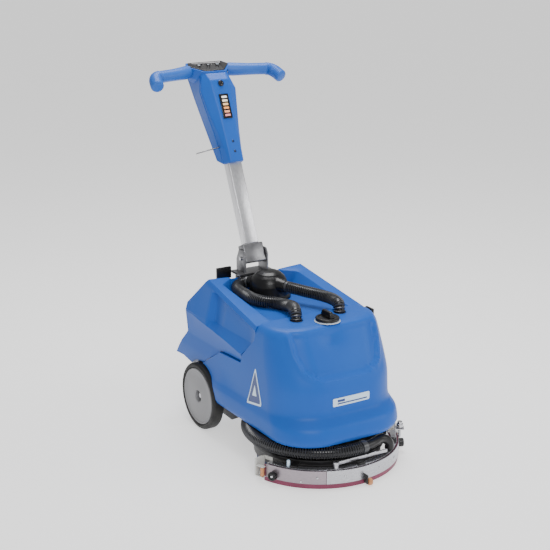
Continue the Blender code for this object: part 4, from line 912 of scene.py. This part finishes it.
head = solid("console_head", [head_ring(-0.016, -0.048), head_ring(0, -0.030),
                              head_ring(0.0045, -0.006), head_ring(0.0050, 0.0012)])
recess = solid("recess", [head_ring(0.0006, 0.0001), head_ring(0.0006, 0.01)])
rounded(head, 0.0022, 3)
combine(head, recess)
wear(head, console_blue, "handle", "blue_plastic")
wear(rear_cover, console_blue, "handle", "blue_plastic", "console_rear_cover")
gloss_black = finish("gloss_black", (0.006, 0.006, 0.008), (0.010, 0.010, 0.012), 0.12,
                     uneven=0.04, grain=300, strength=0.02, coat=0.3, shine=0.4)
glass = solid("display_glass", [head_ring(0, 0.0003), head_ring(0, 0.0033)])
rounded(glass, 0.0008, 2)
key_places = [on_head(x, 0.042, 0.0) for x in (-0.030, 0.0, 0.030)]
key_turn = (tilt - lean, 0, 0)
combine(glass, *[
    turned("button_hole", [(0, 0.02), (0.0065, 0.02), (0.0065, -0.01), (0, -0.01)], 32, spot,
           key_turn) for spot in key_places])
wear(glass, gloss_black, "handle", "display_black", "display_panel")
icon_pale = finish("icon_pale", (0.62, 0.70, 0.78), (0.55, 0.63, 0.72), 0.4)
for at, spot in enumerate(key_places):
    key = turned(f"key_{at + 1}", fillet([(0, 0.0041), (0.0052, 0.0041), (0.0060, 0.0034),
                                          (0.0060, 0.0016), (0, 0.0016)], 0.0004), 32, spot,
                 key_turn)
    wear(key, gloss_black, f"button_{at + 1}_body", "black_plastic", f"button_{at + 1}")
    mark = turned(f"key_mark_{at + 1}", [(0.0024, 0.0044), (0.0036, 0.0044), (0.0036, 0.00405),
                                         (0.0024, 0.00405)], 24 if at != 1 else 3, spot,
                  key_turn)
    wear(mark, icon_pale, f"button_{at + 1}_body", "pale_plastic")


def on_face(name, width, height, deep, centre_up, back, roundness):
    """A small rounded block on the middle of the console's front face."""
    rings = []
    for depth in (0.0, -deep):
        rings.append([on_post(across * width / 2, back + depth, centre_up + along * height / 2)
                      for across, along in ((1, -1), (1, 1), (-1, 1), (-1, -1))])
    return rounded(solid(name, rings), roundness, 2)


panel = on_face("charge_panel", 0.0296, 0.072, 0.0022, 0.433, -0.0303, 0.0009)
wear(panel, gloss_black, "handle", "display_black", "charge_display")
bars = [(0.90, 0.88, 0.84), (0.90, 0.80, 0.62), (0.90, 0.55, 0.26), (0.88, 0.34, 0.10),
        (0.86, 0.36, 0.20), (0.82, 0.30, 0.30)]
for at, colour in enumerate(bars):
    lamp = on_face(f"charge_bar_{at + 1}", 0.0165, 0.0060, 0.0007, 0.4595 - 0.0106 * at, -0.0326,
                   0.0002)
    glow = finish(f"bar_{at + 1}", colour, colour, 0.4, grain=200, strength=0.05)
    glowing(glow, colour, 0.35)
    wear(lamp, glow, "handle", "display_black")
facing = (radians(90) - lean, 0, 0)
power = turned("power_key", fillet([(0, 0.0036), (0.0040, 0.0036), (0.0052, 0.0043),
                                    (0.0078, 0.0043), (0.0090, 0.0030), (0.0090, 0.0013),
                                    (0, 0.0013)], 0.0005), 40, on_post(0, front_face, 0.500), facing)
wear(power, gloss_black, "power_button_body", "black_plastic", "power_button")
for at, up in enumerate((0.3017, 0.3307)):
    screw = turned(f"cover_screw_{at + 1}", fillet([
        (0.0015, 0.0010), (0.0030, 0.0010), (0.0040, 0.0002), (0.0040, -0.001),
        (0.0015, -0.001)], 0.0003), 24, on_post(0, front_face, up), facing)
    wear(screw, gloss_black, "handle", "black_plastic")

# ---- Grips -----------------------------------------------------------------------------
# Two hollow moulded arms grow out of the head and bend forward and down at their ends, where
# the plastic is cast with fine ribs for the fingers.
grip_route = [(0.066, 0.0290, 0.5560), (0.078, 0.0235, 0.5530), (0.102, 0.0140, 0.5485),
              (0.127, 0.0070, 0.5449), (0.160, -0.0005, 0.5410), (0.181, -0.0060, 0.5370),
              (0.193, -0.0165, 0.5260), (0.201, -0.0362, 0.5016)]
grip_blue = finish("grip_blue", (0.016, 0.100, 0.42), (0.024, 0.120, 0.46), 0.40, grain=700,
                   strength=0.3, shine=0.3)
step, rib_pitch, ribbed, round_end = 0.0012, 0.0048, 0.062, 0.0045
for side, sign in (("left", 1), ("right", -1)):
    points = evenly([on_post(sign * x, back, up) for x, back, up in grip_route], step)
    total = step * (len(points) - 1)
    radii = []
    for at in range(len(points)):
        along = step * at
        radius = 0.0192 - 0.0022 * ease(along, 0.0, 0.075)
        far = total - along
        if far < ribbed:
            radius += 0.0011 + 0.0005 * cos(2 * pi * along / rib_pitch)
        if far < round_end:
            radius *= 1 - (1 - far / round_end) ** 2 * 0.30
        radii.append(radius)
    arm = swept(f"arm_{side}", points, radii, 14)
    wear(arm, grip_blue, "handle", "blue_plastic", f"grip_{side}")

# ---- Plates and small trim -------------------------------------------------------------
# A plain pale plate on the hood's front and a plain triangle on its right side, both stuck on.
# The squeegee has a white stop peg, and a bright clamp under the end of its hose.


def on_hood(x):
    """Where the hood's front face is at this place across it."""
    half, front, corner = 0.180, -0.350, 0.112
    bend = max(abs(x) - (half - corner), 0)
    return front + corner - (corner**2 - bend**2) ** 0.5 - crown(x)


def draped(name, rows, lift):
    """A thin sheet laid on a surface: rows of points on it, raised along -y or along -x."""
    return solid(name, [[point + lift for point in row] + [point - lift * 2 for point in reversed(row)]
                        for row in rows])


plate_white = finish("plate_white", (0.62, 0.76, 0.90), (0.58, 0.73, 0.88), 0.35)
label_navy = finish("label_navy", (0.008, 0.030, 0.16), (0.010, 0.036, 0.18), 0.35)
for name, left, right, low, high, lift, material in (
    ("front_plate", -0.050, 0.064, 0.1985, 0.2205, 0.0009, plate_white),
    ("plate_stripe", -0.036, 0.056, 0.2035, 0.2070, 0.0012, label_navy),
    ("plate_mark", -0.036, -0.014, 0.2095, 0.2160, 0.0012, label_navy),
):
    rows = []
    inner = 0.0022 if name == "front_plate" else 0.0008
    for z, cut in ((low, inner), (low + inner, 0), (high - inner, 0), (high, inner)):
        rows.append([Vector((x, on_hood(x), z)) for x in
                     [left + cut + (right - left - 2 * cut) * at / 24 for at in range(25)]])
    wear(draped(name, rows, Vector((0, -lift, 0))), material, "chassis", "pale_plastic")


def side_wall(z):
    """The hood's half width at this height."""
    for (low, near, _, _), (high, far, _, _) in zip(hood_levels, hood_levels[1:]):
        if z <= high:
            return near + (far - near) * (z - low) / (high - low)
    return hood_levels[-1][1]


corners = [Vector((-0.182, 0.278)), Vector((-0.215, 0.179)), Vector((-0.140, 0.167))]
centre = (corners[0] + corners[1] + corners[2]) / 3
for name, size, lift, material in (("side_label", 1.0, 0.0008, plate_white),
                                   ("side_label_field", 0.84, 0.0011, label_navy),
                                   ("side_label_mark", 0.30, 0.0014, plate_white)):
    tip, fore, aft = [centre + (corner - centre) * size for corner in corners]
    rows = []
    for at in range(15):
        share = 0.04 + 0.96 * at / 14
        ends = [tip + (fore - tip) * share, tip + (aft - tip) * share]
        if at == 14:
            ends = [ends[0] + (ends[1] - ends[0]) * 0.05, ends[1] + (ends[0] - ends[1]) * 0.05]
        rows.append([Vector((-side_wall(z), y, z)) for y, z in ends])
    wear(draped(name, rows, Vector((-lift, 0, 0))), material, "chassis", "pale_plastic")

peg = turned("stop_peg", fillet([(0, 0.0690), (0.0042, 0.0690), (0.0046, 0.0600), (0.0046, 0.0521),
                                 (0, 0.0521)], 0.0008), 24, polar(0.2075, -54))
wear(peg, plate_white, "squeegee", "pale_plastic")
clamp = band("hose_clamp", flat(0.1925, 0.2085, 0.0705, 0.0735), 6.0, 14.0, 0.0008, 1.0)
wear(clamp, steel_bright, "squeegee", "steel")
